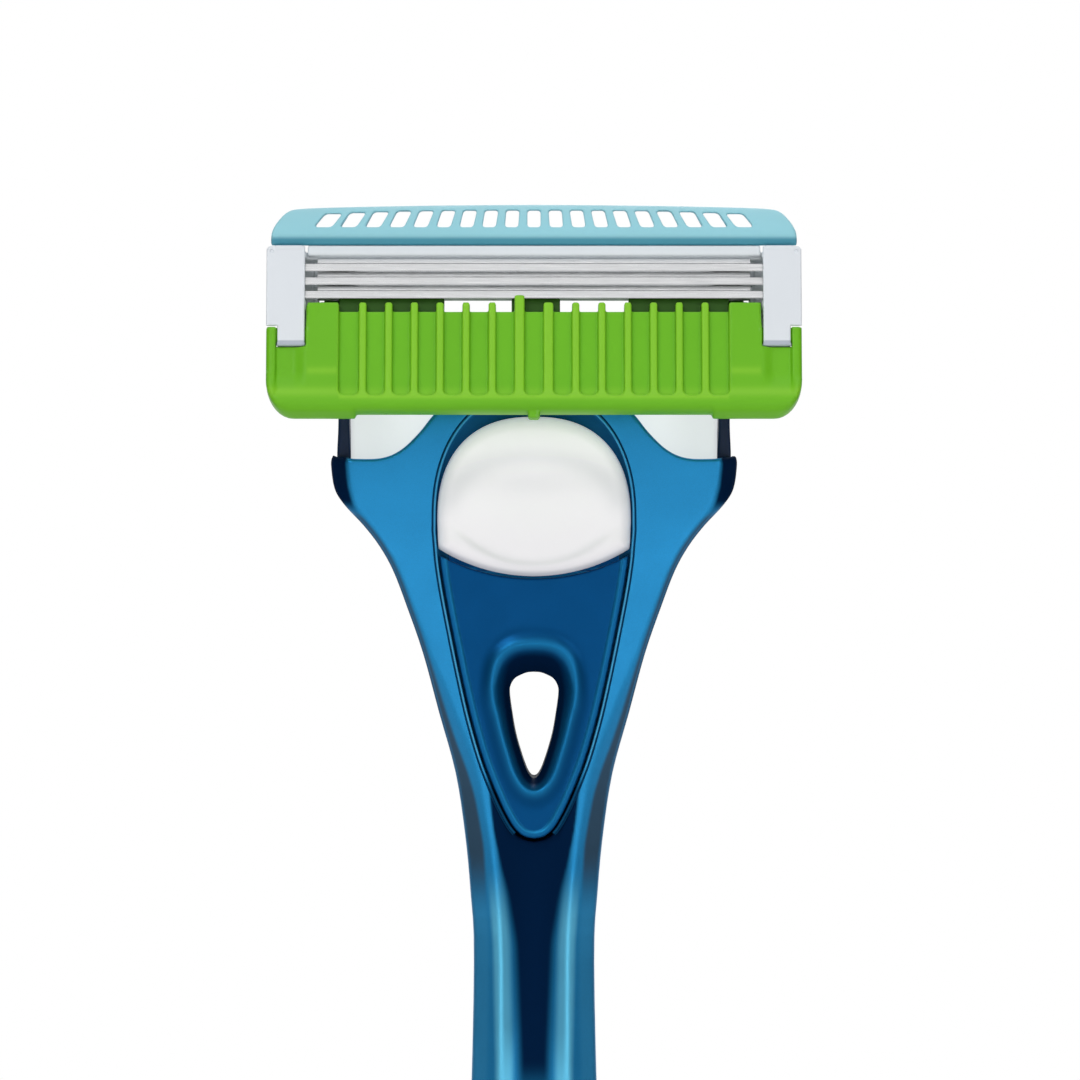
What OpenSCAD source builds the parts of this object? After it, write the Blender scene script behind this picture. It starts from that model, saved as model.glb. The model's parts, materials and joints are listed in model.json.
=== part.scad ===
// Body groomer: a three-blade razor cartridge with a comb guard, on a two-shell handle.
// +Z runs up to the head, and -Y is the front, which the blades face.
// The origin is the middle of the hang hole's round end.

/* [Head] */
// Backward lean of the blade face at rest, in degrees
head_tilt = 12; // [9:0.5:13]
// Width of the head across the comb guard
head_w = 43; // [42.8:0.1:43.4]
// Distance from one cutting edge to the next
blade_pitch = 1.14; // [1.1:0.02:1.16]
// Number of slots in the comfort cap, an odd number
slot_count = 19; // [13:2:19]

/* [Handle] */
// Wall thickness of the two handle shells
wall = 1.2; // [1:0.1:1.4]
// Length of the return stroke of the release button
button_travel = 1; // [0.8:0.1:1.1]

/* [Fits] */
// Radius of the yoke's hinge pins
hinge_r = 0.9; // [0.8:0.05:0.95]
// Radius of the plunger
plunger_r = 1.2; // [1:0.05:1.25]
// Radial clearance of a running fit
run_gap = 0.05; // [0.03:0.01:0.08]

/* [Hidden] */
$fn = 48;

cut = 0.5;              // how far a cutting shape runs past what it cuts
sweep = 60;             // an extrusion that is longer than the object is deep or wide
below_z = -200;         // a height below the whole object

// The hinge axis of the cartridge, in the row's frame
pivot_y = -8;
pivot_z = 29.5;

// Cartridge, in the head's frame: x across, y negative to the front, z up the blade face, origin on the hinge axis
face_y = -3.65;         // plane of the cutting edges
head_half = head_w / 2;
edge_top_z = 3.99;      // cutting edge of the upper blade
blade_half = 19.4;
blade_lean = 20;
blade_w = 0.8;
blade_t = 0.1;
carrier_t = 0.2;
rail_half = 18.2;
rail_z = [5.06, 5.9];   // front rail above the blades
cap_seat_z = 7;         // top of the bar that carries the cap
block_half = 20.5;
block_z = [-2.15, 5.5];
frame_back = -0.9;
seat_z = [1.45, 4.9];   // side seats of the blades
lug_r = 1.7;
clip_x = [18.4, head_half];
clip_t = 0.3;
clip_z = [-2.44, 5.84];
clip_step_z = -0.5;     // below this height only the clip's tongue is left
tongue_half = 20.6;
cam_reach = 5;          // from the hinge axis back to the middle of the cam boss
cam_r = 0.9;
lug_x = [12.6, 14.7];
arm_x = [14.95, 15.9];  // the yoke's arms
arm_r = 1.6;            // boss of each arm round its pin
crossbar_y = [-1.3, 0.7];
crossbar_z = [23.5, 26.3];

// Comb guard
guard_back = -2.5;
guard_top = 0.42;
rib_top = 1.24;
tall_rib_top = 1.83;
rib_t = 0.6;
centre_rib_t = 0.8;
rib_x = [1.16, 3.35, 5.45, 7.54, 9.6, 11.66, 13.74];
window_x = [[-7.2, -1.8], [2.1, 7.6]];
wall_top = 1.55;
guard_profile = [
    [-3.5, 0.42], [-3.48, -2], [-3.65, -4.4], [-3.95, -5.8],
    [-4.5, -6.3], [-4.75, -6.9], [-4.65, -7.5], [-4.2, -7.95], [-3.5, -8.1],
    [-2.4, -8], [-2.05, -7.6], [-2.3, -7], [-2.5, -6]
];

// Handle outline seen from the front: half width and height, from the arm's corner down to the tail
flank = [
    [16.35, 19.2], [16.5, 18.5], [16.2, 16.5], [15.3, 15.1], [13.8, 13.5], [12.5, 11.8],
    [11.4, 9.8], [10.3, 6.9], [9, 3.1], [7.7, -1.8], [6.4, -6.6], [5.65, -11.5],
    [5.2, -16.3], [4.92, -22.1], [5.3, -38], [6.1, -58], [6.3, -78], [5.7, -94],
    [4.4, -104], [2.4, -109.5], [0, -111]
];
// Upper edge of the blue shells, from the middle out to the arm
shoulder = [
    [0, 25.6], [3.5, 25.2], [6.2, 24.1], [8, 22.6], [9.3, 21], [10.8, 19.6], [12.4, 18.95], [14.6, 18.9]
];
// Handle outline seen from the side: depth and height
front_line = [
    [-7.6, 26.5], [-7.6, 20], [-7.2, 12], [-6.3, 4], [-5.4, -4], [-4.6, -14], [-3.6, -28], [-2.6, -45],
    [-2.6, -62], [-3.8, -80], [-5.4, -96], [-5.6, -106], [-4.2, -110.4], [-2.5, -111]
];
back_line = [
    [2.1, 26.5], [2.3, 20], [3.4, 12], [4.6, 4], [5.3, -4], [6, -14], [7.4, -28], [8.9, -45],
    [9.2, -62], [8, -80], [5, -96], [1.8, -106], [-0.8, -110.4], [-2.5, -111]
];
// Where the two shells meet
parting_line = [
    [-1.2, 26.5], [-1.2, 14], [-0.9, 4], [0.2, -12], [2.2, -30], [3.2, -52], [2.6, -76], [0.2, -96]
];
skin = 1.8;             // thickness of the front shell's face
shell_end_z = -96;
core_front = -4.8;
core_back = -3;
core_top = 25.2;
spring_stop_z = 19;     // ledge of the core that the button's spring pushes against

// Button's arch: a tall, slightly squared head on a tapering opening
arch_half = 8.07;
arch_rise = 10.15;
arch_z = 14.2;
arch_square = 0.95;     // power that squares the arch; 1 is an ellipse
opening = [
    [8.08, 13.1], [7.98, 11.9], [7.88, 10.7], [7.66, 9.1], [7.34, 7.25], [6.77, 4.3], [6.09, 1], [5.36, -2.2],
    [4.45, -5.4], [3.55, -7.8], [2.75, -9.6], [1.9, -11.1], [1, -11.95], [0, -12.2]
];
panel = [
    [7.5, 11.1], [7.34, 9.1], [7.02, 7.25], [6.45, 4.3], [5.77, 1], [5.04, -2.2],
    [4.12, -5.4], [3.22, -7.7], [2.45, -9.4], [1.65, -10.8], [0.85, -11.6], [0, -11.85]
];
panel_sag = 27.5;       // half angle of the panel's upper edge, in degrees
panel_drop = 0.35;      // how far the panel's face lies below the shell's face
panel_t = 1.4;

// Release button
button_half = 7.85;
button_mid_z = 13.8;
button_rise = 8.5;
button_low_z = 9.4;
button_sag_r = 14.6;    // radius of the lower edge
button_sag = 31.5;      // half angle of the lower edge, in degrees
button_square = 0.85;   // power that squares the top's corners; 1 is an ellipse
button_gap = 0.15;      // between the button and the panel below it
dome_r = 20;
button_front = -8.5;
pocket_y = [-5.6, -4.95];   // floor of the pocket that the button slides in
button_back = pocket_y[0] - 0.05;
slider_y = [-1, 0.6];
slider_half = 5;
slider_z = [11, 13];
stem_x = [3.2, 4.6];
stem_z = [12, 15];

// Hang hole: a teardrop, round end up
hole_r = 1.95;
tip_r = 0.45;
tip_drop = 6.4;
tube_wall = 0.9;
rim_r = 1.35;           // how far the raised rim stands outside the hole
rim_rise = 0.5;

// Plunger
plunger_y = pivot_y + cam_reach;
plunger_top = pivot_z - cam_r - 0.02;
plunger_foot = 20.5;
plunger_well = 12.5;
tube_r = 1.85;          // guide tube of the plunger, part of the core

// Grips and tail
grip_z = [-86, -24];
front_grip_z = [-84, -34];
grip_edge = 1.5;
grip_depth = 1.1;
grip_rise = 0.35;
flat_z = [-66, -46];    // the flat that the object rests on
groove_step = 4;
groove_w = 1;
rest_y = 9.45;          // the plane of the flat
weight_r = 2.2;
weight_y = 2.4;
weight_z = [-88, -52];
saddle_z = [-84, -70, -56];

blue = "#2c83ae";
navy = "#081d3c";
white = "#e8eef0";
green = "#7ab52d";
sky = "#97d2dd";
steel = "#c8ccd0";

// ---- curves ----

function spline_point(a, b, c, d, t) =
    0.5 * (2 * b + (c - a) * t + (2 * a - 5 * b + 4 * c - d) * t * t + (3 * b - a - 3 * c + d) * t * t * t);

// A smooth curve through the points of a list, with n steps from each point to the next
function smooth(p, n = 3) = [
    for (i = [0 : len(p) - 2])
        for (k = [0 : n - 1])
            spline_point(p[max(i - 1, 0)], p[i], p[i + 1], p[min(i + 2, len(p) - 1)], k / n),
    p[len(p) - 1]
];

function reversed(p) = [for (i = [len(p) - 1 : -1 : 0]) p[i]];
function mirrored(p) = [for (q = p) [-q[0], q[1]]];
function moved(p, dx, dy = 0) = [for (q = p) [q[0] + dx, q[1] + dy]];

// The depths along a line, keyed by height, for lookup
function depths(p) = [for (q = p) [q[1], q[0]]];

// Both halves of an outline that is given as its right half, from top to bottom
function both(p) = concat(p, reversed(mirrored(p)));

// Round end at the origin, small round tip below it, grown by g
function teardrop(g) =
    let (lean = asin((hole_r - tip_r) / tip_drop))
    concat(
        [for (a = [-lean : (180 + 2 * lean) / 24 : 180.01 + lean]) (hole_r + g) * [cos(a), sin(a)]],
        [for (a = [180 + lean : (180 - 2 * lean) / 10 : 360.01 - lean])
            [0, -tip_drop] + (tip_r + g) * [cos(a), sin(a)]]
    );

// Right half of the button's outline, from top to bottom
button_outline = concat(
    [for (a = [90 : -10 : 0])
        [button_half * pow(cos(a), button_square), button_mid_z + button_rise * pow(sin(a), button_square)]],
    [for (a = [button_sag : -button_sag / 6 : 0.1])
        [button_sag_r * sin(a), button_low_z + button_sag_r * (1 - cos(a))]],
    [[0, button_low_z]]
);

// ---- frames and sections ----

// Puts its children in the head's frame
module head() {
    translate([0, pivot_y, pivot_z]) rotate([-head_tilt, 0, 0]) children();
}

// A block between two corners
module block(lo, hi) {
    translate(lo) cube(hi - lo);
}

// A block and its mirror image
module block_pair(lo, hi) {
    block(lo, hi);
    mirror([1, 0, 0]) block(lo, hi);
}

// An outline of [x, z] points, as a plate from y0 to y1
module plate(points, y0, y1) {
    translate([0, y1, 0]) rotate([90, 0, 0]) linear_extrude(y1 - y0) polygon(points);
}

// A section of [y, z] points, as a bar from x0 to x1
module bar(points, x0, x1) {
    translate([x0, 0, 0]) rotate([90, 0, 90]) linear_extrude(x1 - x0) polygon(points);
}

// A round rod along X
module rod_x(r, x0, x1, y, z) {
    translate([x0, y, z]) rotate([0, 90, 0]) cylinder(r = r, h = x1 - x0);
}

// A round rod along Z
module rod_z(r, z0, z1, x, y) {
    translate([x, y, z0]) cylinder(r = r, h = z1 - z0);
}

// One coil spring along Z, as a swept wire
module coil(r, wire, z0, z1, turns, x, y) {
    rings = turns * 10;
    sides = 6;
    points = [
        for (i = [0 : rings])
            let (a = 360 * turns * i / rings, z = z0 + wire + (z1 - z0 - 2 * wire) * i / rings)
            for (k = [0 : sides - 1])
                let (b = 360 * k / sides, s = r + wire * cos(b))
                [x + s * cos(a), y + s * sin(a), z + wire * sin(b)]
    ];
    sides_faces = [
        for (i = [0 : rings - 1])
            for (k = [0 : sides - 1])
                let (a = i * sides, b = a + sides, n = (k + 1) % sides)
                each [[a + k, b + k, b + n], [a + k, b + n, a + n]]
    ];
    ends = [[for (k = [0 : sides - 1]) k], [for (k = [sides - 1 : -1 : 0]) rings * sides + k]];
    polyhedron(points = points, faces = concat(sides_faces, ends));
}

// ---- cartridge ----

module cartridge_frame() color(white) head() difference() {
    union() {
        // Front rail above the blades, and the bar behind it that carries the cap
        block([-rail_half, -3.75, rail_z[0]], [rail_half, -2.4, rail_z[1]]);
        block([-19, -3, seat_z[1]], [19, frame_back, block_z[1]]);
        block([-rail_half, -2.4, 5], [rail_half, frame_back, cap_seat_z]);
        // Side blocks under the clips
        block_pair([rail_half + 0.1, -3.6, guard_top + 0.05], [block_half, frame_back, block_z[1]]);
        block_pair([rail_half + 0.1, -2.4, block_z[0]], [block_half, frame_back, 1]);
        // Lower bar behind the comb
        block([-block_half, -2.4, block_z[0]], [block_half, frame_back, 0.2]);
        // Hinge lugs
        for (side = [-1, 1]) {
            x0 = side > 0 ? lug_x[0] : -lug_x[1];
            rod_x(lug_r, x0, x0 + lug_x[1] - lug_x[0], 0, 0);
            block([x0, -1.6, -1.6], [x0 + lug_x[1] - lug_x[0], 0, 0.15]);
        }
        // Cam boss and its arm
        rotate([head_tilt, 0, 0]) rod_x(cam_r, -1.6, 1.6, cam_reach, 0);
        bar([[-1.2, 0.1], [-1.2, -1.4], [4.8, 0.3], [4.8, 1.8]], -1.2, 1.2);
    }
    // Seats of the blades and their supports
    block_pair([rail_half - cut, -3.9, seat_z[0]], [blade_half + 0.2, -2, seat_z[1]]);
    // Room for the yoke's arms
    block_pair([arm_x[0] - 0.15, -1.75, -3], [arm_x[1] + 0.15, 1, 1]);
    rod_x(hinge_r + run_gap, -16, 16, 0, 0);
}

module comfort_cap() color(sky) head() {
    outer = [[-3.9, 6], [-4.15, 6.4], [-4, 7.2], [-3.5, 8], [-2.6, 8.9], [-1.6, 9.65], [-0.7, 10.15]];
    inner = [[-0.3, 9.75], [-1.1, 9.1], [-2, 8.3], [-2.7, 7.4], [-2.95, 7.05], [-3.2, 6.6], [-3.2, 6]];
    pitch = (rail_half - 1.3) * 2 / (slot_count + 0.2);
    difference() {
        union() {
            intersection() {
                bar(concat(outer, inner), -21.2, 21.2);
                plate(both([[0, 10.3], [8, 10.15], [15, 9.95], [19, 9.7], [19.8, 9.3], [20.2, 8.6], [20.9, 6.8],
                    [21.2, 6.3], [21.2, 5.9]]), -5, 1);
            }
            // Feet that sit on the frame
            for (x = [-14, 0, 14])
                bar([[-2.9, 7.2], [-2.4, cap_seat_z + 0.02], [-1.2, cap_seat_z + 0.02], [-1.2, 9.1], [-2, 8.4]], x - 2, x + 2);
        }
        for (i = [0 : slot_count - 1]) {
            n = i - (slot_count - 1) / 2;
            x = n * pitch * (1 + 0.011 * abs(n));
            translate([x, 0, 8.6]) rotate([0, -4 * n, 0]) block([-0.52, -6, -0.68], [0.52, 3, 0.68]);
        }
    }
}

// One sharpened strip, edge down; n counts from the cap
module blade(n) color(steel) head() {
    translate([0, face_y, edge_top_z - n * blade_pitch]) rotate([-blade_lean, 0, 0])
        bar([[0.02, 0], [0, 0.03], [0, blade_w], [blade_t, blade_w], [blade_t, 0.22]], -blade_half, blade_half);
}

// One bent carrier: the flange behind the blade, and the leg that goes back into the frame
module blade_support(n) color(steel) head() {
    translate([0, face_y, edge_top_z - n * blade_pitch]) rotate([-blade_lean, 0, 0])
        bar([
            [blade_t, 0.3], [blade_t, blade_w + 0.03], [0, blade_w + 0.03], [0, 1.04],
            [0.12, 1.12], [1.3, 0.7], [1.23, 0.5], [carrier_t + blade_t, 0.84], [carrier_t + blade_t, 0.3]
        ], -17.4, 17.4);
}

module end_clip() color(steel) head() {
    front = face_y - 0.05;
    block([clip_x[0], front - clip_t, clip_step_z], [clip_x[1], front, clip_z[1]]);
    block([clip_x[0], front - clip_t, clip_z[0]], [tongue_half, front, clip_step_z]);
    // Tongue's end, folded back through the guard
    block([clip_x[0], front - clip_t, clip_z[0]], [tongue_half, guard_back + 0.05, clip_z[0] + clip_t - 0.05]);
    // Top leg over the side block, and its fold behind it
    block([clip_x[0] + 0.2, front - clip_t, clip_z[1] - clip_t], [block_half + 0.3, frame_back + 0.35, clip_z[1]]);
    block([clip_x[0] + 0.2, frame_back + 0.05, 3.6], [block_half + 0.3, frame_back + 0.35, clip_z[1]]);
}

module comb_guard() color(green) head() difference() {
    union() {
        intersection() {
            bar(concat(guard_profile, [[guard_back, guard_top]]), -head_half, head_half);
            plate(both([
                [0, 2], [head_half, 2], [head_half, -5.2], [head_half - 0.25, -6.3],
                [head_half - 0.9, -7.3], [head_half - 2.2, -8.2], [0, -8.2]
            ]), -6, 0);
        }
        // Ribs; the two in the middle are thicker, and one of them is taller
        for (side = [-1, 1]) for (i = [0 : len(rib_x) - 1]) {
            t = i == 0 ? centre_rib_t : rib_t;
            x = side * rib_x[i];
            bar([
                [-3.95, rib_top], [-4.15, rib_top - 0.3], [-4.2, -4.8], [-4.45, -6.2], [-3, -6.2],
                [guard_back, 0], [guard_back, rib_top]
            ], x - t / 2, x + t / 2);
        }
        block([-rib_x[0] - 0.4, -4.15, 0], [-rib_x[0] + 0.4, -3.85, tall_rib_top]);
        // Rear wall between the ribs, open at the two windows
        difference() {
            block([-rib_x[6], -2.95, 0], [rib_x[6], guard_back, wall_top]);
            for (w = window_x) block([w[0], -3.2, guard_top], [w[1], -2, wall_top + cut]);
        }
        // End blocks, with a prouder pad on each
        block_pair([rib_x[6], -3.95, -6.1], [18.25, guard_back, rib_top]);
        block_pair([15.6, -4.2, -4.6], [17.4, -3.9, rib_top]);
        // Wings beside the clips
        block_pair([20.75, -4, -5.4], [head_half, -1.2, clip_step_z - 0.05]);
        // Hooks that reach up behind the blades
        block_pair([16.1, -2.6, 0.3], [16.9, -1.3, rib_top]);
        block_pair([16.1, -2.1, 0.3], [16.9, -1.3, 4.4]);
        block_pair([14.3, -2.1, 1.8], [16.9, -1.3, 4.4]);
        // Nub in the middle of the lower edge
        block([-0.48, -4.2, -8.3], [0.48, -3, -7.8]);
    }
    // Pockets for the clips and for the folded ends of their tongues
    block_pair([clip_x[0] - 0.1, -5, clip_z[0] - 0.1], [tongue_half + 0.1, face_y - 0.02, 1]);
    block_pair([clip_x[0] - 0.1, -5, clip_z[0] - 0.05], [tongue_half + 0.1, guard_back + cut, clip_z[0] + 0.35]);
}

// ---- yoke ----

module cartridge_yoke() color(navy) {
    arm = [
        [-9.2, 30.4], [-8, 31], [-6.8, 30.5], [-5.4, 28.4], [-1.5, crossbar_z[1]], [crossbar_y[1], crossbar_z[1]],
        [crossbar_y[1], crossbar_z[0]],
        [-1.4, 23], [-1.4, 17.1], [-1.7, 16.9], [-5, 16.9], [-5.3, 17.2], [-5.6, 22], [-7, 26], [-9.4, 28.6]
    ];
    for (side = [-1, 1]) {
        x0 = side > 0 ? arm_x[0] : -arm_x[1];
        bar(arm, x0, x0 + arm_x[1] - arm_x[0]);
        rod_x(arm_r, x0, x0 + arm_x[1] - arm_x[0], pivot_y, pivot_z);
    }
    rod_x(hinge_r, lug_x[0] + 0.1, arm_x[0] + 0.2, pivot_y, pivot_z);
    rod_x(hinge_r, -arm_x[0] - 0.2, -lug_x[0] - 0.1, pivot_y, pivot_z);
    block([-arm_x[1], crossbar_y[0], crossbar_z[0]], [arm_x[1], crossbar_y[1], crossbar_z[1]]);
}

// ---- handle ----

// What lies between two [y, z] lines
module between(line_a, line_b) {
    bar(concat(line_a, reversed(line_b)), -sweep / 2, sweep / 2);
}

// The handle's outline from the front, drawn in by g on its flanks and open upwards by rise, from z_end up
module outline(g, rise, z_end) {
    intersection() {
        plate(both(concat(
            moved(smooth(shoulder, 2), 0, rise), moved(smooth(flank), -g, 0)
        )), -sweep / 2, sweep / 2);
        block([-sweep, -sweep, z_end], [sweep, sweep, sweep]);
    }
}

// The opening in the front shell, around the button and the panel, grown by g around the button
module front_opening(g, y0, y1) {
    head_arc = [for (a = [90 : -6 : 0])
        [(arch_half + g) * pow(cos(a), arch_square), arch_z + (arch_rise + g) * pow(sin(a), arch_square)]];
    plate(both(concat(head_arc, smooth(opening, 2))), y0, y1);
}

// Slots for the stems that join the button to its pusher
module stem_slots() {
    block_pair([stem_x[0] - 0.1, -6, stem_z[0] - 0.1], [stem_x[1] + 0.1, -2, stem_z[1] + 0.2 + button_travel]);
}

module handle_hole(g, y0, y1) {
    plate(teardrop(g), y0, y1);
}

module front_shell() color(blue) {
    face = smooth(front_line);
    parting = smooth(parting_line, 2);
    difference() {
        intersection() {
            outline(0, 0, shell_end_z);
            between(face, parting);
        }
        intersection() {
            outline(wall, 3, shell_end_z - cut);
            between(moved(face, skin + 0.4), moved(parting, cut));
        }
        front_opening(0, -sweep / 2, sweep / 2);
        // Sockets of the yoke's arms
        block_pair([arm_x[0] - 0.1, -5.45, 16.8], [arm_x[1] + 0.1, 0, 20]);
        front_grip_form(0);
    }
    // Floor of the button's pocket
    difference() {
        intersection() {
            front_opening(0.3, pocket_y[0], pocket_y[1]);
            block([-sweep, -sweep, 12], [sweep, sweep, sweep]);
        }
        stem_slots();
    }
    // Rests of the core
    for (x = [-10, 10]) translate([x, core_front, 15.6]) rotate([90, 0, 0]) cylinder(r = 0.9, h = 1.2);
}

module back_shell() color(blue) {
    face = smooth(back_line);
    parting = smooth(parting_line, 2);
    difference() {
        intersection() {
            outline(0, 0, shell_end_z);
            between(parting, face);
        }
        difference() {
            intersection() {
                outline(wall, 3, shell_end_z - cut);
                between(moved(parting, -cut), moved(face, -wall));
            }
            // What stays in the cavity: the backing of the grip, and the saddles of the weight
            intersection() {
                between(moved(face, -grip_depth - wall), moved(face, 5));
                block([-sweep, -sweep, grip_z[0] - 1.5], [sweep, sweep, grip_z[1] + 1.5]);
            }
            for (z = saddle_z) block([-sweep, weight_y, z], [sweep, sweep, z + 1.2]);
        }
        rod_z(weight_r, weight_z[0], weight_z[1], 0, weight_y);
        handle_hole(tube_wall + 0.05, -sweep / 2, sweep / 2);
        back_grip_form(0);
    }
}

module neck_core() color(white) {
    tube_z0 = plunger_well - 1.5;
    difference() {
        union() {
            plate(both([
                [0, core_top], [14.7, core_top], [14.7, 17.2], [12.2, 14.8], [9.2, 10.8], [8.4, 9.8], [0, 9.8]
            ]), core_front, core_back);
            rod_z(tube_r, tube_z0, crossbar_z[0] - 0.2, 0, plunger_y);
            block([-1.4, plunger_y, spring_stop_z], [1.4, slider_y[1], spring_stop_z + 1.2]);
        }
        rod_z(plunger_r + run_gap, plunger_well, core_top + cut, 0, plunger_y);
        stem_slots();
    }
}

module insert_panel() color(navy) {
    face = moved(smooth(front_line), panel_drop);
    top_r = button_sag_r + button_gap;
    top_arc = [for (a = [0 : panel_sag / 5 : panel_sag]) [top_r * sin(a), button_low_z + button_sag_r - top_r * cos(a)]];
    difference() {
        union() {
            intersection() {
                plate(both(concat(top_arc, smooth(panel, 2))), -sweep / 2, sweep / 2);
                between(face, moved(face, panel_t));
            }
            intersection() {
                handle_hole(rim_r, -sweep / 2, sweep / 2);
                between(moved(face, -rim_rise), moved(face, panel_t));
            }
            intersection() {
                handle_hole(tube_wall, -sweep / 2, sweep / 2);
                between(face, smooth(back_line));
            }
        }
        handle_hole(0, -sweep / 2, sweep / 2);
    }
}

// The rubber inlay of the front, and the recess that it fills; rise lifts its face
module front_grip_form(rise) {
    face = smooth(front_line);
    intersection() {
        outline(grip_edge, 0, front_grip_z[0]);
        between(moved(face, -rise), moved(face, grip_depth));
        block([-sweep, -sweep, below_z], [sweep, sweep, front_grip_z[1]]);
    }
}

// The rubber inlay of the back, with a flat where the object rests
module back_grip_form(rise) {
    face = smooth(back_line);
    intersection() {
        outline(grip_edge, 0, grip_z[0]);
        between(moved(face, -grip_depth), moved(face, rise));
        block([-sweep, -sweep, below_z], [sweep, rest_y, grip_z[1]]);
    }
}

module front_grip() color(navy) difference() {
    front_grip_form(grip_rise);
    for (z = [front_grip_z[0] + 4 : groove_step : front_grip_z[1] - 3])
        block([-sweep, -8, z], [sweep, lookup(z, depths(front_line)) + 0.1, z + groove_w]);
}

module back_grip() color(navy) difference() {
    back_grip_form(grip_rise + 0.2);
    for (z = concat(
        [for (z = [grip_z[0] + 4 : groove_step : flat_z[0] - 2]) z],
        [for (z = [flat_z[1] + 2 : groove_step : grip_z[1] - 3]) z]
    )) block([-sweep, lookup(z, depths(back_line)) - 0.1, z], [sweep, 12, z + groove_w]);
}

module tail_cap() color(navy) {
    face = smooth(front_line);
    back = smooth(back_line);
    intersection() {
        outline(0, 0, -sweep * 2);
        between(face, back);
        block([-sweep, -sweep, below_z], [sweep, sweep, shell_end_z]);
    }
    // Spigot inside the shells
    block([-4.1, -2.7, shell_end_z - 1], [4.1, 3.4, shell_end_z + 4]);
}

module grip_weight() color(steel) rod_z(weight_r, weight_z[0], weight_z[1], 0, weight_y);

// ---- release button ----

module eject_button() color(white) {
    intersection() {
        plate(both(button_outline), button_front - 1, button_back);
        translate([0, button_front + dome_r, button_mid_z + 1]) sphere(r = dome_r);
    }
}

module button_pusher() color(white) {
    block([-slider_half, slider_y[0], slider_z[0]], [slider_half, slider_y[1], slider_z[1]]);
    // Prongs that meet the yoke's crossbar at the end of the stroke
    block_pair([3, slider_y[0], slider_z[0]], [slider_half, slider_y[1], crossbar_z[0] - button_travel - 0.1]);
    block_pair([stem_x[0], button_back, stem_z[0]], [stem_x[1], slider_y[0] + cut, stem_z[1]]);
}

module button_spring() color(steel) {
    coil(0.58, 0.17, slider_z[1], spring_stop_z, 7, 0, (slider_y[0] + slider_y[1]) / 2);
}

// ---- pivot return ----

module plunger() color(white) rod_z(plunger_r, plunger_foot, plunger_top, 0, plunger_y);

module plunger_spring() color(steel) coil(0.9, 0.16, plunger_well, plunger_foot, 8, 0, plunger_y);

cartridge_frame();
comfort_cap();
blade(0);  // blade_1
blade(1);  // blade_2
blade(2);  // blade_3
blade_support(0);  // blade_support_1
blade_support(1);  // blade_support_2
blade_support(2);  // blade_support_3
mirror([1, 0, 0]) end_clip();  // end_clip_left
end_clip();  // end_clip_right
comb_guard();
cartridge_yoke();
front_shell();
back_shell();
neck_core();
insert_panel();
front_grip();
back_grip();
tail_cap();
grip_weight();
eject_button();
button_pusher();
button_spring();
plunger();
plunger_spring();
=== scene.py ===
"""Looks of the body groomer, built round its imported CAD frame.

Most pieces are sampled as signed distances on a grid, in millimetres, and turned into smooth meshes.
The handle's pieces are in the row's frame. The cartridge's pieces are in the head's frame: x across, y negative
to the front, z up the blade face, with its origin on the hinge axis.
"""

import functools
import json
from math import atan, cos, pi, radians, sin, tan

import bpy
import numpy as np
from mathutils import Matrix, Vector

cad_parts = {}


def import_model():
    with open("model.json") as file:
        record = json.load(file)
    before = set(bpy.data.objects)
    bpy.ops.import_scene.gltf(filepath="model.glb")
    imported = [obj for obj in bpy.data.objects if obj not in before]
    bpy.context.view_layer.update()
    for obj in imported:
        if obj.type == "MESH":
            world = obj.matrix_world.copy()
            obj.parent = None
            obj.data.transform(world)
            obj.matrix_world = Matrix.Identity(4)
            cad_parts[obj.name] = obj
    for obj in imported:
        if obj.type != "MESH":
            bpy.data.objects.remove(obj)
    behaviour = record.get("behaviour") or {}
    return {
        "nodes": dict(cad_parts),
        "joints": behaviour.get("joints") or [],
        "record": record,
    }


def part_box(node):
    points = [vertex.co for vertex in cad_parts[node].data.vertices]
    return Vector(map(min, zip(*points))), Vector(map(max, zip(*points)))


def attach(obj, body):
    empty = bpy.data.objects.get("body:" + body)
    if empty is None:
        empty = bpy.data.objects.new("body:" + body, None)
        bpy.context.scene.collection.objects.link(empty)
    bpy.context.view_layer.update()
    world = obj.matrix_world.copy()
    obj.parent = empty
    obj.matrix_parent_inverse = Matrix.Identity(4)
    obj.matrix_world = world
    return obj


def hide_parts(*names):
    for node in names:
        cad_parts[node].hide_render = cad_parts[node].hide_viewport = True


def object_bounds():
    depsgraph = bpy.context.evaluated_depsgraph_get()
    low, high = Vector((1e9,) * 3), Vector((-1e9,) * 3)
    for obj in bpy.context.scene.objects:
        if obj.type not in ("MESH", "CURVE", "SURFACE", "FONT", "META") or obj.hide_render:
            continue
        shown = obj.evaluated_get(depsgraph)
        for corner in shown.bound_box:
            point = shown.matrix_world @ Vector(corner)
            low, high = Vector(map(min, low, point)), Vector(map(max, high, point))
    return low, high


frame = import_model()
cad_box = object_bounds()
MM = 0.001
COARSE = 1.0  # factor on the grid steps
FINE = 0.125  # the grid step where a piece has small features

# ---- driving sizes, in millimetres ----

HEAD_TILT = radians(12)
SHELL_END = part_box("front_shell")[0].z / MM
PIVOT = next(j for j in frame["joints"] if j["name"] == "head_pivot")["pos_m"]
PIVOT_Y, PIVOT_Z = PIVOT[1] / MM, PIVOT[2] / MM

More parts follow.
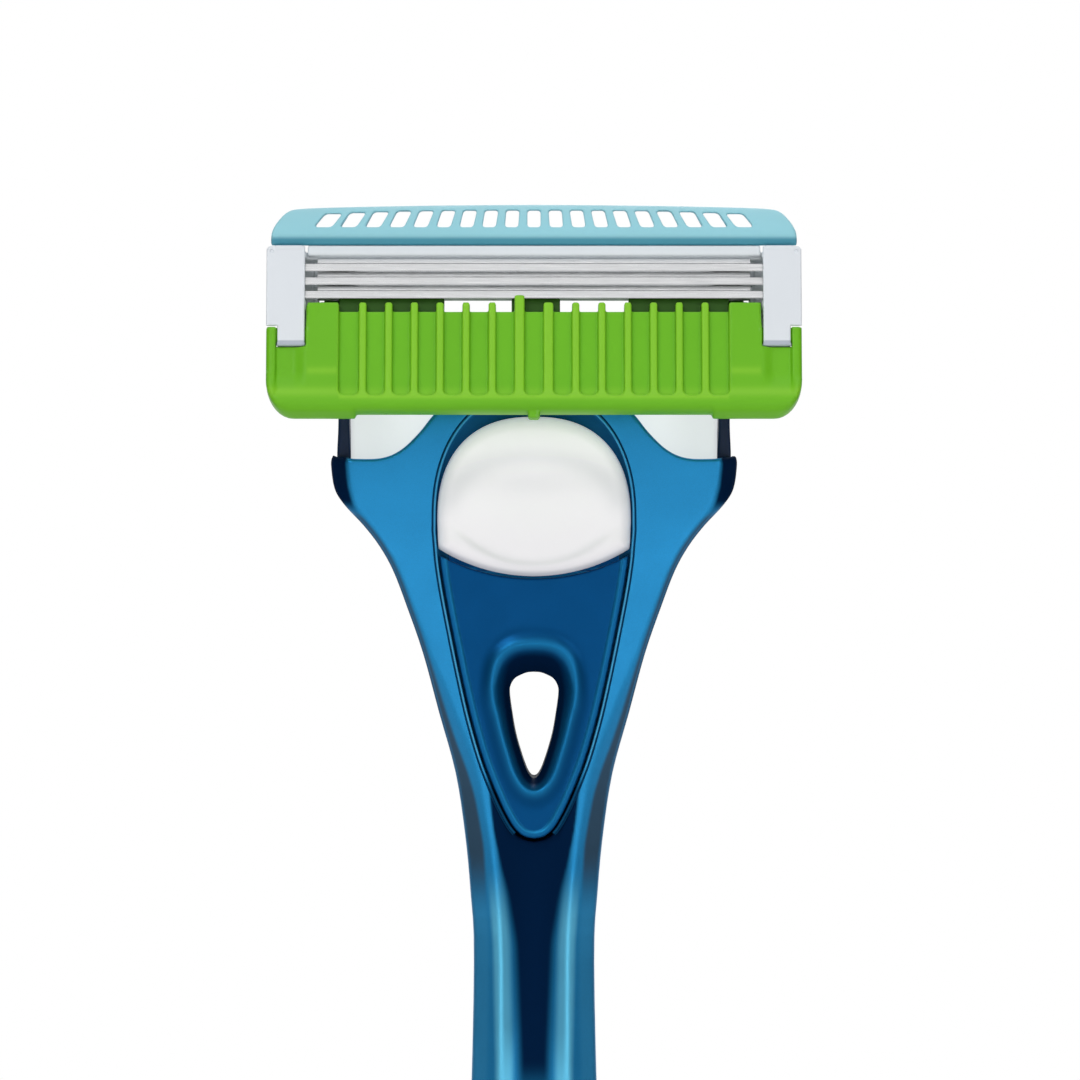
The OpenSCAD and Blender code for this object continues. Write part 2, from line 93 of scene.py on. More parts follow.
# Handle seen from the front, as points of half width and height
FLANK = [
    (16.35, 19.2), (16.5, 18.5), (16.2, 16.5), (15.3, 15.1), (13.8, 13.5), (12.5, 11.8),
    (11.4, 9.8), (10.3, 6.9), (9, 3.1), (7.7, -1.8), (6.4, -6.6), (5.65, -11.5),
    (5.2, -16.3), (4.92, -22.1), (5.3, -38), (6.1, -58), (6.3, -78), (5.7, -94),
    (4.4, -104), (2.4, -109.5), (0, -111),
]
SHOULDER = [(0, 25.6), (3.5, 25.2), (6.2, 24.1), (8, 22.6), (9.3, 21), (10.8, 19.6), (12.4, 18.95), (14.6, 18.9)]
# Handle seen from the side, as points of depth and height
FRONT_LINE = [
    (-7.6, 26.5), (-7.6, 20), (-7.2, 12), (-6.3, 4), (-5.4, -4), (-4.6, -14), (-3.6, -28), (-2.6, -45),
    (-2.6, -62), (-3.8, -80), (-5.4, -96), (-5.6, -106), (-4.2, -110.4), (-2.5, -111),
]
BACK_LINE = [
    (2.1, 26.5), (2.3, 20), (3.4, 12), (4.6, 4), (5.3, -4), (6, -14), (7.4, -28), (8.9, -45),
    (9.2, -62), (8, -80), (5, -96), (1.8, -106), (-0.8, -110.4), (-2.5, -111),
]
PARTING_LINE = [(-1.2, 26.5), (-1.2, 14), (-0.9, 4), (0.2, -12), (2.2, -30), (3.2, -52), (2.6, -76), (0.2, -96)]
WALL = 1.2  # of the two shells
CAVITY_LOW = 9.8  # bottom of the room for the button's works
# The hub: an arch over the button, and the opening that runs down from it to a point
ARCH_HALF, ARCH_RISE, ARCH_Z = 8.07, 10.15, 14.2
OPENING = [
    (8.08, 13.1), (7.98, 11.9), (7.88, 10.7), (7.66, 9.1), (7.34, 7.25), (6.77, 4.3), (6.09, 1), (5.36, -2.2),
    (4.45, -5.4), (3.55, -7.8), (2.75, -9.6), (1.9, -11.1), (1, -11.95), (0, -12.2),
]
BUTTON_HALF, BUTTON_MID, BUTTON_RISE, BUTTON_LOW, BUTTON_SAG_R = 7.85, 13.8, 8.5, 9.4, 14.6
BUTTON_FACE, BUTTON_BACK = -8.5, -5.65
# The hang hole, and the outer edge of the ring round it
HOLE = [(0, 1.6), (0.55, 1.56), (1.12, 1.34), (1.6, 1.04), (1.93, 0.45), (1.99, -0.3), (1.77, -1.94), (1.48, -3.57),
        (1.03, -5.16), (0.65, -6.25), (0.42, -6.73), (0.2, -7), (0, -7.07)]
RING = [(0, 3.9), (1, 3.84), (1.83, 3.6), (2.6, 3), (3.07, 2.1), (3.3, 0.6), (3.2, -0.8), (2.9, -1.94), (2.5, -3.57),
        (2.05, -5.1), (1.6, -6.5), (1.05, -7.5), (0.5, -8.02), (0, -8.15)]
GRIP_EDGE = 1.5  # from the handle's outline to a rubber inlay
GRIP_SINK = 1.1  # depth of an inlay's recess
FRONT_GRIP = (-84, -34)
BACK_GRIP = (-86, -24)
GROOVE_STEP = 2.4
REST_Y = 9.44  # the back inlay is flat there, where the object rests
PLUNGER_Y = -3
ARM_X = 15.42  # middle of each of the yoke's arms
YOKE_BAR = (23.5, 26.3)
CAM_REACH = 5

# ---- curves ----


def smooth(points, n=4):
    """A Catmull-Rom curve through the points, n steps from each to the next."""
    p = np.array(points, float)
    p = np.vstack([p[0], p, p[-1]])
    t = (np.arange(n) / n)[:, None]
    spans = [
        0.5 * (2 * b + (c - a) * t + (2 * a - 5 * b + 4 * c - d) * t**2 + (3 * b - a - 3 * c + d) * t**3)
        for a, b, c, d in zip(p, p[1:], p[2:], p[3:])
    ]
    return np.vstack(spans + [p[-1]])


def both(*parts):
    """A closed outline from the parts of its right half, from top to bottom."""
    p = np.vstack(parts).astype(float)
    return np.vstack([p, p[::-1] * (-1, 1)])


def squared_arc(half, rise, z, power, n):
    """Right half of a round top whose corners are squared by a power, from the top down."""
    a = np.radians(np.linspace(90, 0, n))
    return np.column_stack([half * np.cos(a).clip(0) ** power, z + rise * np.sin(a) ** power])


def along(line, blur=1.2):
    """The value at any height of a line of [value, z] points, blurred over that many millimetres."""
    line = np.array(sorted(map(tuple, line), key=lambda point: point[1]), float)
    step_z = 0.05
    z = np.arange(line[0, 1], line[-1, 1] + step_z, step_z)
    n = int(blur / step_z)
    weights = np.hanning(2 * n + 1)
    value = np.pad(np.interp(z, line[:, 1], line[:, 0]), n, mode="edge")
    value = np.convolve(value, weights / weights.sum(), mode="valid")
    return lambda at: np.interp(at, z, value)


HANDLE = both(smooth(SHOULDER), smooth(FLANK))
SIDES = both([(FLANK[0][0], 60)], smooth(FLANK))  # the handle's outline, open at the top
GRIP_OUTLINE = both(smooth(SHOULDER), smooth(FLANK) - (GRIP_EDGE, 0))
ARCH = squared_arc(ARCH_HALF, ARCH_RISE, ARCH_Z, 0.91, 40)
HUB = both(ARCH, smooth(OPENING))
front_depth = along(smooth(FRONT_LINE))
back_depth = along(smooth(BACK_LINE))
parting_depth = along(smooth(PARTING_LINE))

# ---- grids of signed distances, negative inside ----


def axis(lo, hi, step):
    return np.arange(lo, hi + step, step * COARSE, dtype=np.float32)


def stepped(ends, steps):
    """Sample points from end to end, with a step for each span."""
    spans = [axis(lo, hi, pitch) for lo, hi, pitch in zip(ends, ends[1:], steps)]
    return np.unique(np.round(np.concatenate(spans), 4)).astype(np.float32)


def distance(outline, u, v):
    """Signed distance to a closed outline at every pair of u and v."""
    a = np.array(outline, np.float32)
    b = np.roll(a, -1, 0)
    gu, gv = np.meshgrid(u, v, indexing="ij")
    best = np.full(gu.shape, 1e9, np.float32)
    odd = np.zeros(gu.shape, bool)
    for (au, av), (bu, bv) in zip(a, b):
        du, dv = bu - au, bv - av
        length = du * du + dv * dv
        if length < 1e-12:
            continue
        pu, pv = gu - au, gv - av
        t = np.clip((pu * du + pv * dv) / length, 0, 1)
        best = np.minimum(best, (pu - t * du) ** 2 + (pv - t * dv) ** 2)
        if dv:
            odd ^= ((av > gv) != (bv > gv)) & (pu < du * pv / dv)
    return np.where(odd, -1, 1).astype(np.float32) * np.sqrt(best)


FAR = 9.0  # a distance outside everything, to start a union from


def union(*fields):
    return functools.reduce(np.minimum, fields)


def common(*fields):
    return functools.reduce(np.maximum, fields)


def cut(body, *tools):
    return common(body, *(-tool for tool in tools))


def round_max(a, b, r):
    """What lies in both, with the edge rounded to radius r."""
    return np.minimum(np.maximum(a, b), -r) + np.hypot(np.maximum(a + r, 0), np.maximum(b + r, 0))


def round_min(a, b, r):
    """What lies in either, with the inner corner filled to radius r."""
    return -round_max(-a, -b, r)


def ramp(u, r):
    """Zero below zero and u above it, with a soft bend of width r."""
    return 0.5 * (u + np.sqrt(u * u + r * r))


def bell(u, width):
    return np.exp(-((u / width) ** 2))


def step(u, lo, hi):
    t = np.clip((u - lo) / (hi - lo), 0, 1)
    return t * t * (3 - 2 * t)


def even_grid(pitch, *spans):
    """A grid with the same step along x, y and z."""
    return Grid(*(axis(lo, hi, pitch) for lo, hi in spans))


CORNERS = [(i, j, k) for i in (0, 1) for j in (0, 1) for k in (0, 1)]
EDGES = [(a, b) for a in range(8) for b in range(a + 1, 8) if bin(a ^ b).count("1") == 1]


class Grid:
    """A box of sample points. x, y and z broadcast against each other."""

    def __init__(self, x, y, z):
        self.axes, self.xs, self.zs = (x, y, z), x, z
        self.x, self.y, self.z = x[:, None, None], y[None, :, None], z[None, None, :]

    def front(self, outline):
        return distance(outline, self.axes[0], self.axes[2])[:, None, :]

    def side(self, outline):
        return distance(outline, self.axes[1], self.axes[2])[None, :, :]

    def box(self, lo, hi, r=0.0):
        """A block between two corners, with rounded edges."""
        q = [np.abs(c - (a + b) / 2) - (b - a) / 2 + r for c, a, b in zip((self.x, self.y, self.z), lo, hi)]
        outside = np.sqrt(sum(np.maximum(c, 0) ** 2 for c in q))
        return outside + np.minimum(common(*q), 0) - r

    def box_pair(self, lo, hi, r=0.0):
        """A block and its mirror image."""
        g = Grid(np.abs(self.axes[0]), self.axes[1], self.axes[2])
        return g.box(lo, hi, r)

    def sample(self, field, p):
        """The field at points, by linear interpolation."""
        field = np.broadcast_to(field, [len(a) for a in self.axes])
        base, part = [], []
        for d in range(3):
            a = self.axes[d]
            i = np.clip(np.searchsorted(a, p[:, d]) - 1, 0, len(a) - 2)
            base.append(i)
            part.append(np.clip((p[:, d] - a[i]) / (a[i + 1] - a[i]), 0, 1))
        total = 0
        for c in CORNERS:
            weight = 1.0
            for d in range(3):
                weight = weight * (part[d] if c[d] else 1 - part[d])
            total = total + weight * field[base[0] + c[0], base[1] + c[1], base[2] + c[2]]
        return total

    def slope(self, field, p, reach):
        """The unit gradient of the field at points."""
        g = np.empty_like(p)
        for d in range(3):
            off = np.zeros(3)
            off[d] = reach
            g[:, d] = self.sample(field, p + off) - self.sample(field, p - off)
        return g / np.maximum(np.linalg.norm(g, axis=1, keepdims=True), 1e-9)

    def surface(self, field):
        """Points, quads and normals of the field's zero surface."""
        field = np.broadcast_to(field, [len(a) for a in self.axes]).astype(np.float32)
        inside = field < 0
        count = sum(
            inside[tuple(slice(c, size - 1 + c) for c, size in zip(corner, field.shape))].astype(np.uint8)
            for corner in CORNERS
        )
        active = (count > 0) & (count < 8)
        cells = np.argwhere(active)
        index = np.full(active.shape, -1, np.int32)
        index[active] = np.arange(len(cells))
        values = np.stack([field[cells[:, 0] + i, cells[:, 1] + j, cells[:, 2] + k] for i, j, k in CORNERS], 1)
        total = np.zeros((len(cells), 3))
        hits = np.zeros(len(cells))
        for a, b in EDGES:
            va, vb = values[:, a], values[:, b]
            cross = (va < 0) != (vb < 0)
            t = np.where(cross, va / np.where(cross, va - vb, 1), 0)[:, None]
            total += np.where(cross[:, None], np.array(CORNERS[a]) * (1 - t) + np.array(CORNERS[b]) * t, 0)
            hits += cross
        local = total / hits[:, None]
        p = np.empty((len(cells), 3))
        for d in range(3):
            a = self.axes[d]
            i = cells[:, d]
            p[:, d] = a[i] + local[:, d] * (a[i + 1] - a[i])
        quads = []
        for d in range(3):
            u, v = (d + 1) % 3, (d + 2) % 3
            lo = [slice(1, -1)] * 3
            hi = [slice(1, -1)] * 3
            lo[d], hi[d] = slice(None, -1), slice(1, None)
            first, last = inside[tuple(lo)], inside[tuple(hi)]
            at = np.argwhere(first != last)
            outward = first[tuple(at.T)]
            at[:, u] += 1
            at[:, v] += 1
            ring = []
            for su, sv in ((1, 1), (0, 1), (0, 0), (1, 0)):
                c = at.copy()
                c[:, u] -= su
                c[:, v] -= sv
                ring.append(index[tuple(c.T)])
            ring = np.stack(ring, 1)
            quads.append(np.where(outward[:, None], ring, ring[:, ::-1]))
        quads = np.vstack(quads)
        reach = float(self.axes[0][1] - self.axes[0][0]) * 0.7
        normals = self.slope(field, p, reach)
        p -= normals * self.sample(field, p)[:, None] * 0.8
        return p, quads, self.slope(field, p, reach)


def tilted(p, shift=True):
    """Head frame to the row's frame."""
    c, s = cos(HEAD_TILT), sin(HEAD_TILT)
    turned = np.stack([p[:, 0], p[:, 1] * c + p[:, 2] * s, p[:, 2] * c - p[:, 1] * s], 1)
    return turned + (0, PIVOT_Y, PIVOT_Z) if shift else turned


def added(name, data):
    """A new object in the scene."""
    made = bpy.data.objects.new(name, data)
    bpy.context.scene.collection.objects.link(made)
    return made


def mesh_object(name, p, quads, normals):
    """A smooth-shaded object from arrays in millimetres."""
    mesh = bpy.data.meshes.new(name)
    mesh.vertices.add(len(p))
    mesh.vertices.foreach_set("co", (p * MM).astype(np.float32).ravel())
    sides = quads.shape[1]
    mesh.loops.add(quads.size)
    mesh.loops.foreach_set("vertex_index", quads.astype(np.int32).ravel())
    mesh.polygons.add(len(quads))
    mesh.polygons.foreach_set("loop_start", np.arange(0, quads.size, sides, dtype=np.int32))
    mesh.polygons.foreach_set("loop_total", np.full(len(quads), sides, np.int32))
    mesh.polygons.foreach_set("use_smooth", np.ones(len(quads), bool))
    mesh.update(calc_edges=True)
    mesh.normals_split_custom_set_from_vertices(normals)
    return added(name, mesh)


def carve(name, grid, field, head=False):
    """The object whose surface is the field's zero surface, and its points in millimetres, before the head's tilt."""
    p, quads, normals = grid.surface(field)
    placed = (tilted(p), quads, tilted(normals, shift=False)) if head else (p, quads, normals)
    return mesh_object(name, *placed), p


def paint(piece, name, values):
    """A value on each vertex, for the material to read."""
    layer = piece.data.attributes.new(name, "FLOAT", "POINT")
    layer.data.foreach_set("value", values.astype(np.float32))


def extrude_x(name, section, half):
    """A [y, z] section of the head as a bar along X, with flat sides."""
    n = len(section)
    p = tilted(np.vstack([np.column_stack([np.full(n, x), section]) for x in (-half, half)]))
    sides = [(i, (i + 1) % n, n + (i + 1) % n, n + i) for i in range(n)]
    ends = [tuple(range(n))[::-1], tuple(range(n, 2 * n))]
    mesh = bpy.data.meshes.new(name)
    mesh.from_pydata((p * MM).tolist(), [], sides + ends)
    mesh.update()
    return added(name, mesh)


def sweep(path, r, sides=10):
    """Points, quads and normals of a round bead along a path."""
    ahead = np.roll(path, -1, 0) - np.roll(path, 1, 0)
    ahead[0], ahead[-1] = path[1] - path[0], path[-1] - path[-2]
    ahead /= np.linalg.norm(ahead, axis=1, keepdims=True)
    out = np.cross(ahead, (0, 1, 0))
    out /= np.linalg.norm(out, axis=1, keepdims=True)
    up = np.cross(out, ahead)
    a = np.linspace(0, 2 * pi, sides, endpoint=False)
    rim = np.cos(a)[None, :, None] * out[:, None, :] + np.sin(a)[None, :, None] * up[:, None, :]
    n = len(path)
    p = (path[:, None, :] + r * rim).reshape(-1, 3)
    i = np.arange(n - 1)[:, None]
    k = np.arange(sides)[None, :]
    j, m = i + 1, (k + 1) % sides
    quads = np.stack([i * sides + k, j * sides + k, j * sides + m, i * sides + m], 2).reshape(-1, 4)
    return p, quads, rim.reshape(-1, 3)


# ---- materials ----


def fill(node, **values):
    """Set a node's inputs by name."""
    for key, value in values.items():
        node.inputs[key.replace("_", " ")].default_value = value


class Nodes:
    """Short names for building a material's node tree."""

    def __init__(self, name):
        self.material = bpy.data.materials.new(name)
        self.material.use_nodes = True
        self.tree = self.material.node_tree
        self.bsdf = self.tree.nodes["Principled BSDF"]
        self.place = self.add("TexCoord").outputs["Object"]

    def add(self, kind, **values):
        made = self.tree.nodes.new("ShaderNode" + kind)
        for key, value in values.items():
            setattr(made, key, value)
        return made

    def link(self, out, target):
        self.tree.links.new(out, target)

    def noise(self, per_mm, detail=3.0, stretch=(1, 1, 1)):
        """Noise with that many features to a millimetre."""
        place = self.add("Mapping")
        fill(place, Scale=stretch)
        self.link(self.place, place.inputs["Vector"])
        made = self.add("TexNoise")
        fill(made, Scale=per_mm / MM, Detail=detail)
        self.link(place.outputs["Vector"], made.inputs["Vector"])
        return made.outputs["Fac"]

    def cells(self, per_mm):
        """The outputs of a pattern of cells, with that many to a millimetre."""
        made = self.add("TexVoronoi")
        fill(made, Scale=per_mm / MM)
        self.link(self.place, made.inputs["Vector"])
        return made.outputs

    def scaled(self, value, lo, hi, from_lo=0.3, from_hi=0.7):
        made = self.add("MapRange")
        fill(made, From_Min=from_lo, From_Max=from_hi, To_Min=lo, To_Max=hi)
        self.link(value, made.inputs["Value"])
        return made.outputs["Result"]

    def mix(self, factor, a, b):
        """Colour a to colour b by a factor's socket; a and b are colours or sockets."""
        made = self.add("Mix", data_type="RGBA")
        for value, socket in ((a, made.inputs[6]), (b, made.inputs[7])):
            if isinstance(value, tuple):
                socket.default_value = (*value, 1)
            else:
                self.link(value, socket)
        self.link(factor, made.inputs[0])
        return made.outputs[2]

    def bumps(self, *layers):
        """Height layers, each a (socket, height in mm) pair, on the surface."""
        normal = None
        for height, mm in layers:
            made = self.add("Bump")
            fill(made, Strength=1, Distance=mm * MM)
            self.link(height, made.inputs["Height"])
            if normal is not None:
                self.link(normal, made.inputs["Normal"])
            normal = made.outputs["Normal"]
        self.link(normal, self.bsdf.inputs["Normal"])

    def painted(self, name):
        """A value painted on the mesh; nothing where there is none."""
        return self.add("Attribute", attribute_name=name).outputs["Fac"]

    def edges(self):
        """A mask of the outer edges, where wear shows."""
        return self.scaled(self.add("NewGeometry").outputs["Pointiness"], 0, 1, 0.52, 0.62)

    def set(self, **values):
        for key, value in values.items():
            socket = self.bsdf.inputs[key.replace("_", " ")]
            if hasattr(value, "is_output"):
                self.link(value, socket)
            else:
                socket.default_value = value


def linear(r, g, b):
    """A display colour from 0 to 255 as linear light."""
    return tuple((c / 255 / 12.92) if c <= 10 else ((c / 255 + 0.055) / 1.055) ** 2.4 for c in (r, g, b))


def shade(colour, k):
    return tuple(min(c * k, 1) for c in colour)


def plastic(name, colour, rough, grain=0.012, variation=0.06, sss=0.0, wear=0.08, gloss=0.4, glow=0.0, light=None,
            painted_shade=None):
    """Moulded plastic: texture of the mould, soft clouding and paler worn edges; painted highlight and painted shade
    colours where they are painted, and with glow set, a glow of its own that is painted light.
    """
    n = Nodes(name)
    cloud = n.mix(n.scaled(n.noise(0.12), 0, 1), shade(colour, 1 - variation), shade(colour, 1 + variation))
    pale = shade(tuple(0.5 * c + 0.5 for c in colour), 0.9)
    faded = n.add("Math", operation="MULTIPLY")
    n.link(n.edges(), faded.inputs[0])
    faded.inputs[1].default_value = wear
    cloud = n.mix(faded.outputs[0], cloud, pale)
    # Painted highlight and painted shade colours, where the pieces paint them
    cloud = n.mix(n.painted("light"), cloud, light or colour)
    n.set(Base_Color=n.mix(n.painted("painted_shade"), cloud, painted_shade or colour))
    n.set(Roughness=n.scaled(n.noise(0.5), rough * 0.88, rough * 1.12), Specular_IOR_Level=gloss)
    # A glow of its own, stronger where light is painted: painted light, not a lamp
    if glow:
        n.set(Emission_Color=(*colour, 1), Emission_Strength=n.scaled(n.painted("light"), glow, glow + 0.3, 0, 1))
    if sss:
        n.set(Subsurface_Weight=sss, Subsurface_Scale=0.6 * MM, Subsurface_Radius=(1.0, 0.9, 0.7))
    n.bumps((n.noise(6, 4), grain))
    return n.material


def lacquer(name, colour, metallic, rough, gloss=0.2, flake=0.1, light=(100, 195, 232)):
    """Metallic lacquer: flake and soft clouding, with a painted reflection band, painted highlights and painted shade
    where they are painted.
    """
    n = Nodes(name)
    flakes = n.cells(22)
    grey = n.add("RGBToBW")
    n.link(flakes["Color"], grey.inputs[0])
    body = n.mix(n.scaled(grey.outputs[0], 0, 1, 0, 1), shade(colour, 1 - flake), shade(colour, 1 + flake))
    cloud = n.mix(n.scaled(n.noise(0.16, 2), 0, 0.22), body, shade(colour, 1.3))
    # Painted reflection band, painted highlight and painted shade, where the pieces paint them
    cloud = n.mix(n.painted("painted_reflection"), cloud, linear(54, 84, 108))
    cloud = n.mix(n.painted("light"), cloud, linear(*light))
    n.set(Base_Color=n.mix(n.painted("painted_shade"), cloud, linear(4, 30, 62)))

    # Where shade is painted the lacquer also loses its metal and sheen, so the painted shade stays dark
    def to_painted_shade(plain, painted_shade):
        return n.scaled(n.painted("painted_shade"), plain, painted_shade, 0, 1)

    n.set(Metallic=to_painted_shade(metallic, 0.04), IOR=to_painted_shade(1.45, 1.1))
    n.set(Roughness=n.scaled(n.noise(0.35), rough * 0.88, rough * 1.12))
    n.set(Specular_IOR_Level=to_painted_shade(gloss, 0.02))
    n.bumps((n.noise(18, 2), 0.0006))
    return n.material


def steel(name, colour, rough, stretch=(0.04, 1, 1), line=0.0016):
    """Ground steel with fine lines along its length."""
    n = Nodes(name)
    lines = n.noise(14, 4, stretch)
    n.set(Base_Color=n.mix(n.scaled(lines, 0, 1), shade(colour, 0.9), shade(colour, 1.05)), Metallic=1.0)
    n.set(Roughness=n.scaled(n.noise(9, 3, stretch), rough * 0.75, rough * 1.3))
    n.bumps((lines, line))
    return n.material


def rubber(name, colour):
    """Soft grip rubber: fine matt pits, dust-pale edges."""
    n = Nodes(name)
    pits = n.cells(2.6)
    cloud = n.mix(n.scaled(n.noise(0.15), 0, 1), shade(colour, 0.85), shade(colour, 1.15))
    n.set(Base_Color=n.mix(n.scaled(n.edges(), 0, 0.12, 0, 1), cloud, (0.25, 0.28, 0.32)))
    n.set(Roughness=n.scaled(n.noise(1.5), 0.62, 0.78), Sheen_Weight=0.15, Specular_IOR_Level=0.35)
    n.bumps((pits["Distance"], 0.03), (n.noise(8, 3), 0.01))
    return n.material


# The light and shade colours given below are painted highlight and painted shade colours, laid where the pieces paint
# them.
BLUE = lacquer("blue lacquer", linear(36, 136, 192), 0.6, 0.34)
DEEP_BLUE = lacquer("deep blue lacquer", linear(1, 68, 118), 0.6, 0.32, gloss=0.1, flake=0.06, light=(50, 185, 250))
NAVY = plastic("navy plastic", linear(9, 34, 66), 0.4, grain=0.006, variation=0.1, wear=0.02, gloss=0.2)
# The button and the core glow of their own, which is painted light: a little for the button, strongly for the grey
# core and the plunger, so that they look as white in the head's shade as in full light.
BUTTON = plastic("button plastic", linear(243, 241, 243), 0.4, grain=0.003, variation=0.01, wear=0.0, glow=0.07,
                 painted_shade=linear(196, 198, 202))
CORE = plastic("core plastic", linear(151, 154, 155), 0.45, grain=0.006, variation=0.01, wear=0.0, glow=1.95)
FRAME = plastic("frame plastic", linear(226, 232, 236), 0.4, grain=0.005, variation=0.02, wear=0.0)
CAP = plastic("cap plastic", linear(152, 211, 223), 0.45, grain=0.008, variation=0.03, sss=0.1, gloss=0.25,
              painted_shade=linear(80, 156, 177))
GUARD = plastic("guard plastic", linear(109, 186, 29), 0.4, grain=0.005, variation=0.03, gloss=0.2,
                light=linear(133, 201, 45), painted_shade=linear(50, 94, 22))
BLADE = steel("blade steel", linear(196, 197, 198), 0.3)
CARRIER = steel("carrier steel", linear(232, 233, 234), 0.5)
CLIP = plastic("clip metal", linear(226, 231, 236), 0.36, grain=0.002, variation=0.015, wear=0.05, gloss=0.6,
               painted_shade=linear(176, 184, 196))
SPRING = steel("spring steel", linear(180, 184, 190), 0.25, (1, 1, 1), 0.0006)
GRIP = rubber("grip rubber", linear(22, 44, 78))

BODY_OF = {n: b for b, nodes in frame["record"]["behaviour"]["bodies"].items() for n in nodes}


def stand_for(piece, node, finish):
    """The piece replaces a CAD node, moves with its body and takes its finish."""
    piece.data.materials.append(finish)
    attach(piece, BODY_OF[node])
    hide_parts(node)


# ---- handle ----

# Down the stem: the rolled edge's width and fall, then the channel between the edges, and where its painted shade,
# painted highlight and painted reflection band lie
band_width = along([
    (1.3, 60), (1.3, 26), (1.3, 17.4), (1.2, 16.6), (0.8, 15.7), (0.5, 15), (0.38, 14), (0.35, 11), (0.4, 7),
    (0.55, 3), (1.1, -0.3), (1.5, -4), (1.75, -7.4), (1.95, -12), (2.1, -16), (2.25, -22), (2.2, -60), (2, -96),
    (1.6, -111),
])
band_fall = along([
    (1.9, 60), (1.9, 26), (1.9, 17.4), (1.8, 16.4), (1.4, 15.2), (1.1, 14), (1, 11), (1, 3), (1, -4), (1.05, -12),
    (1, -22), (1, -111),
])
channel_depth = along([(0, 30), (0, -7), (0.5, -9.5), (1, -12), (1.35, -17), (1.45, -22), (1.2, -27), (0.4, -32),
                       (0, -36), (0, -111)])
channel_edge = along([(4.6, 20), (4, -6), (3.8, -7.5), (3.68, -9), (3.45, -11), (3.15, -12.8), (2.8, -16.5),
                      (2.3, -20.5), (1.9, -30), (1.9, -111)])
channel_blur = along([(0.25, 20), (0.25, -12), (0.45, -14), (0.95, -16.5), (1.15, -20.5), (1.2, -111)])
shine_at = along([(3.6, 20), (3.6, -10), (3.3, -14), (3.1, -16.5), (2.8, -20.5), (2.6, -30), (2.6, -111)])
painted_reflection_width = along([(0.42, 60), (0.42, 3), (0.75, -4.35), (1.25, -8.4), (1.45, -12.4), (1.3, -17), (1.3, -111)])
channel_half = along([(4.6, 30), (4.4, -6), (3.8, -9), (3.25, -12), (2.9, -16), (2.75, -22), (2.6, -30), (2.4, -40),
                      (2, -111)])


def front_face(x, z, inset):
    """Depth of the front shell's face; inset is the distance inside the handle's sides."""
    face = front_depth(z)[None, :] + band_fall(z)[None, :] * ramp(band_width(z)[None, :] - inset, 0.2)
    across = np.abs(x)[:, None] / channel_half(z)[None, :]
    channel = channel_depth(z)[None, :] * ramp(1 - across**2, 0.3)
    return (face + channel).astype(np.float32)


def height_field(grid, face):
    """Distance in front of a face whose depth is given over x and z."""
    face = face.astype(np.float32)
    du = np.gradient(face, grid.axes[0], axis=0)
    dv = np.gradient(face, grid.axes[2], axis=1)
    lean = np.sqrt(1 + du**2 + dv**2)[:, None, :]
    return (face[:, None, :] - grid.y) / lean


def cavity(g, behind, outline):
    """The room inside a shell, whose side walls thin out towards the top."""
    return common(behind, outline + WALL - 2.5 * step(g.z, 17, 26), CAVITY_LOW - g.z)


def grip_shape(g, span):
    """The outline of a rubber inlay between two heights."""
    ends = common(g.z - span[1], span[0] - g.z)
    return round_max(g.front(GRIP_OUTLINE), ends, 2.8)


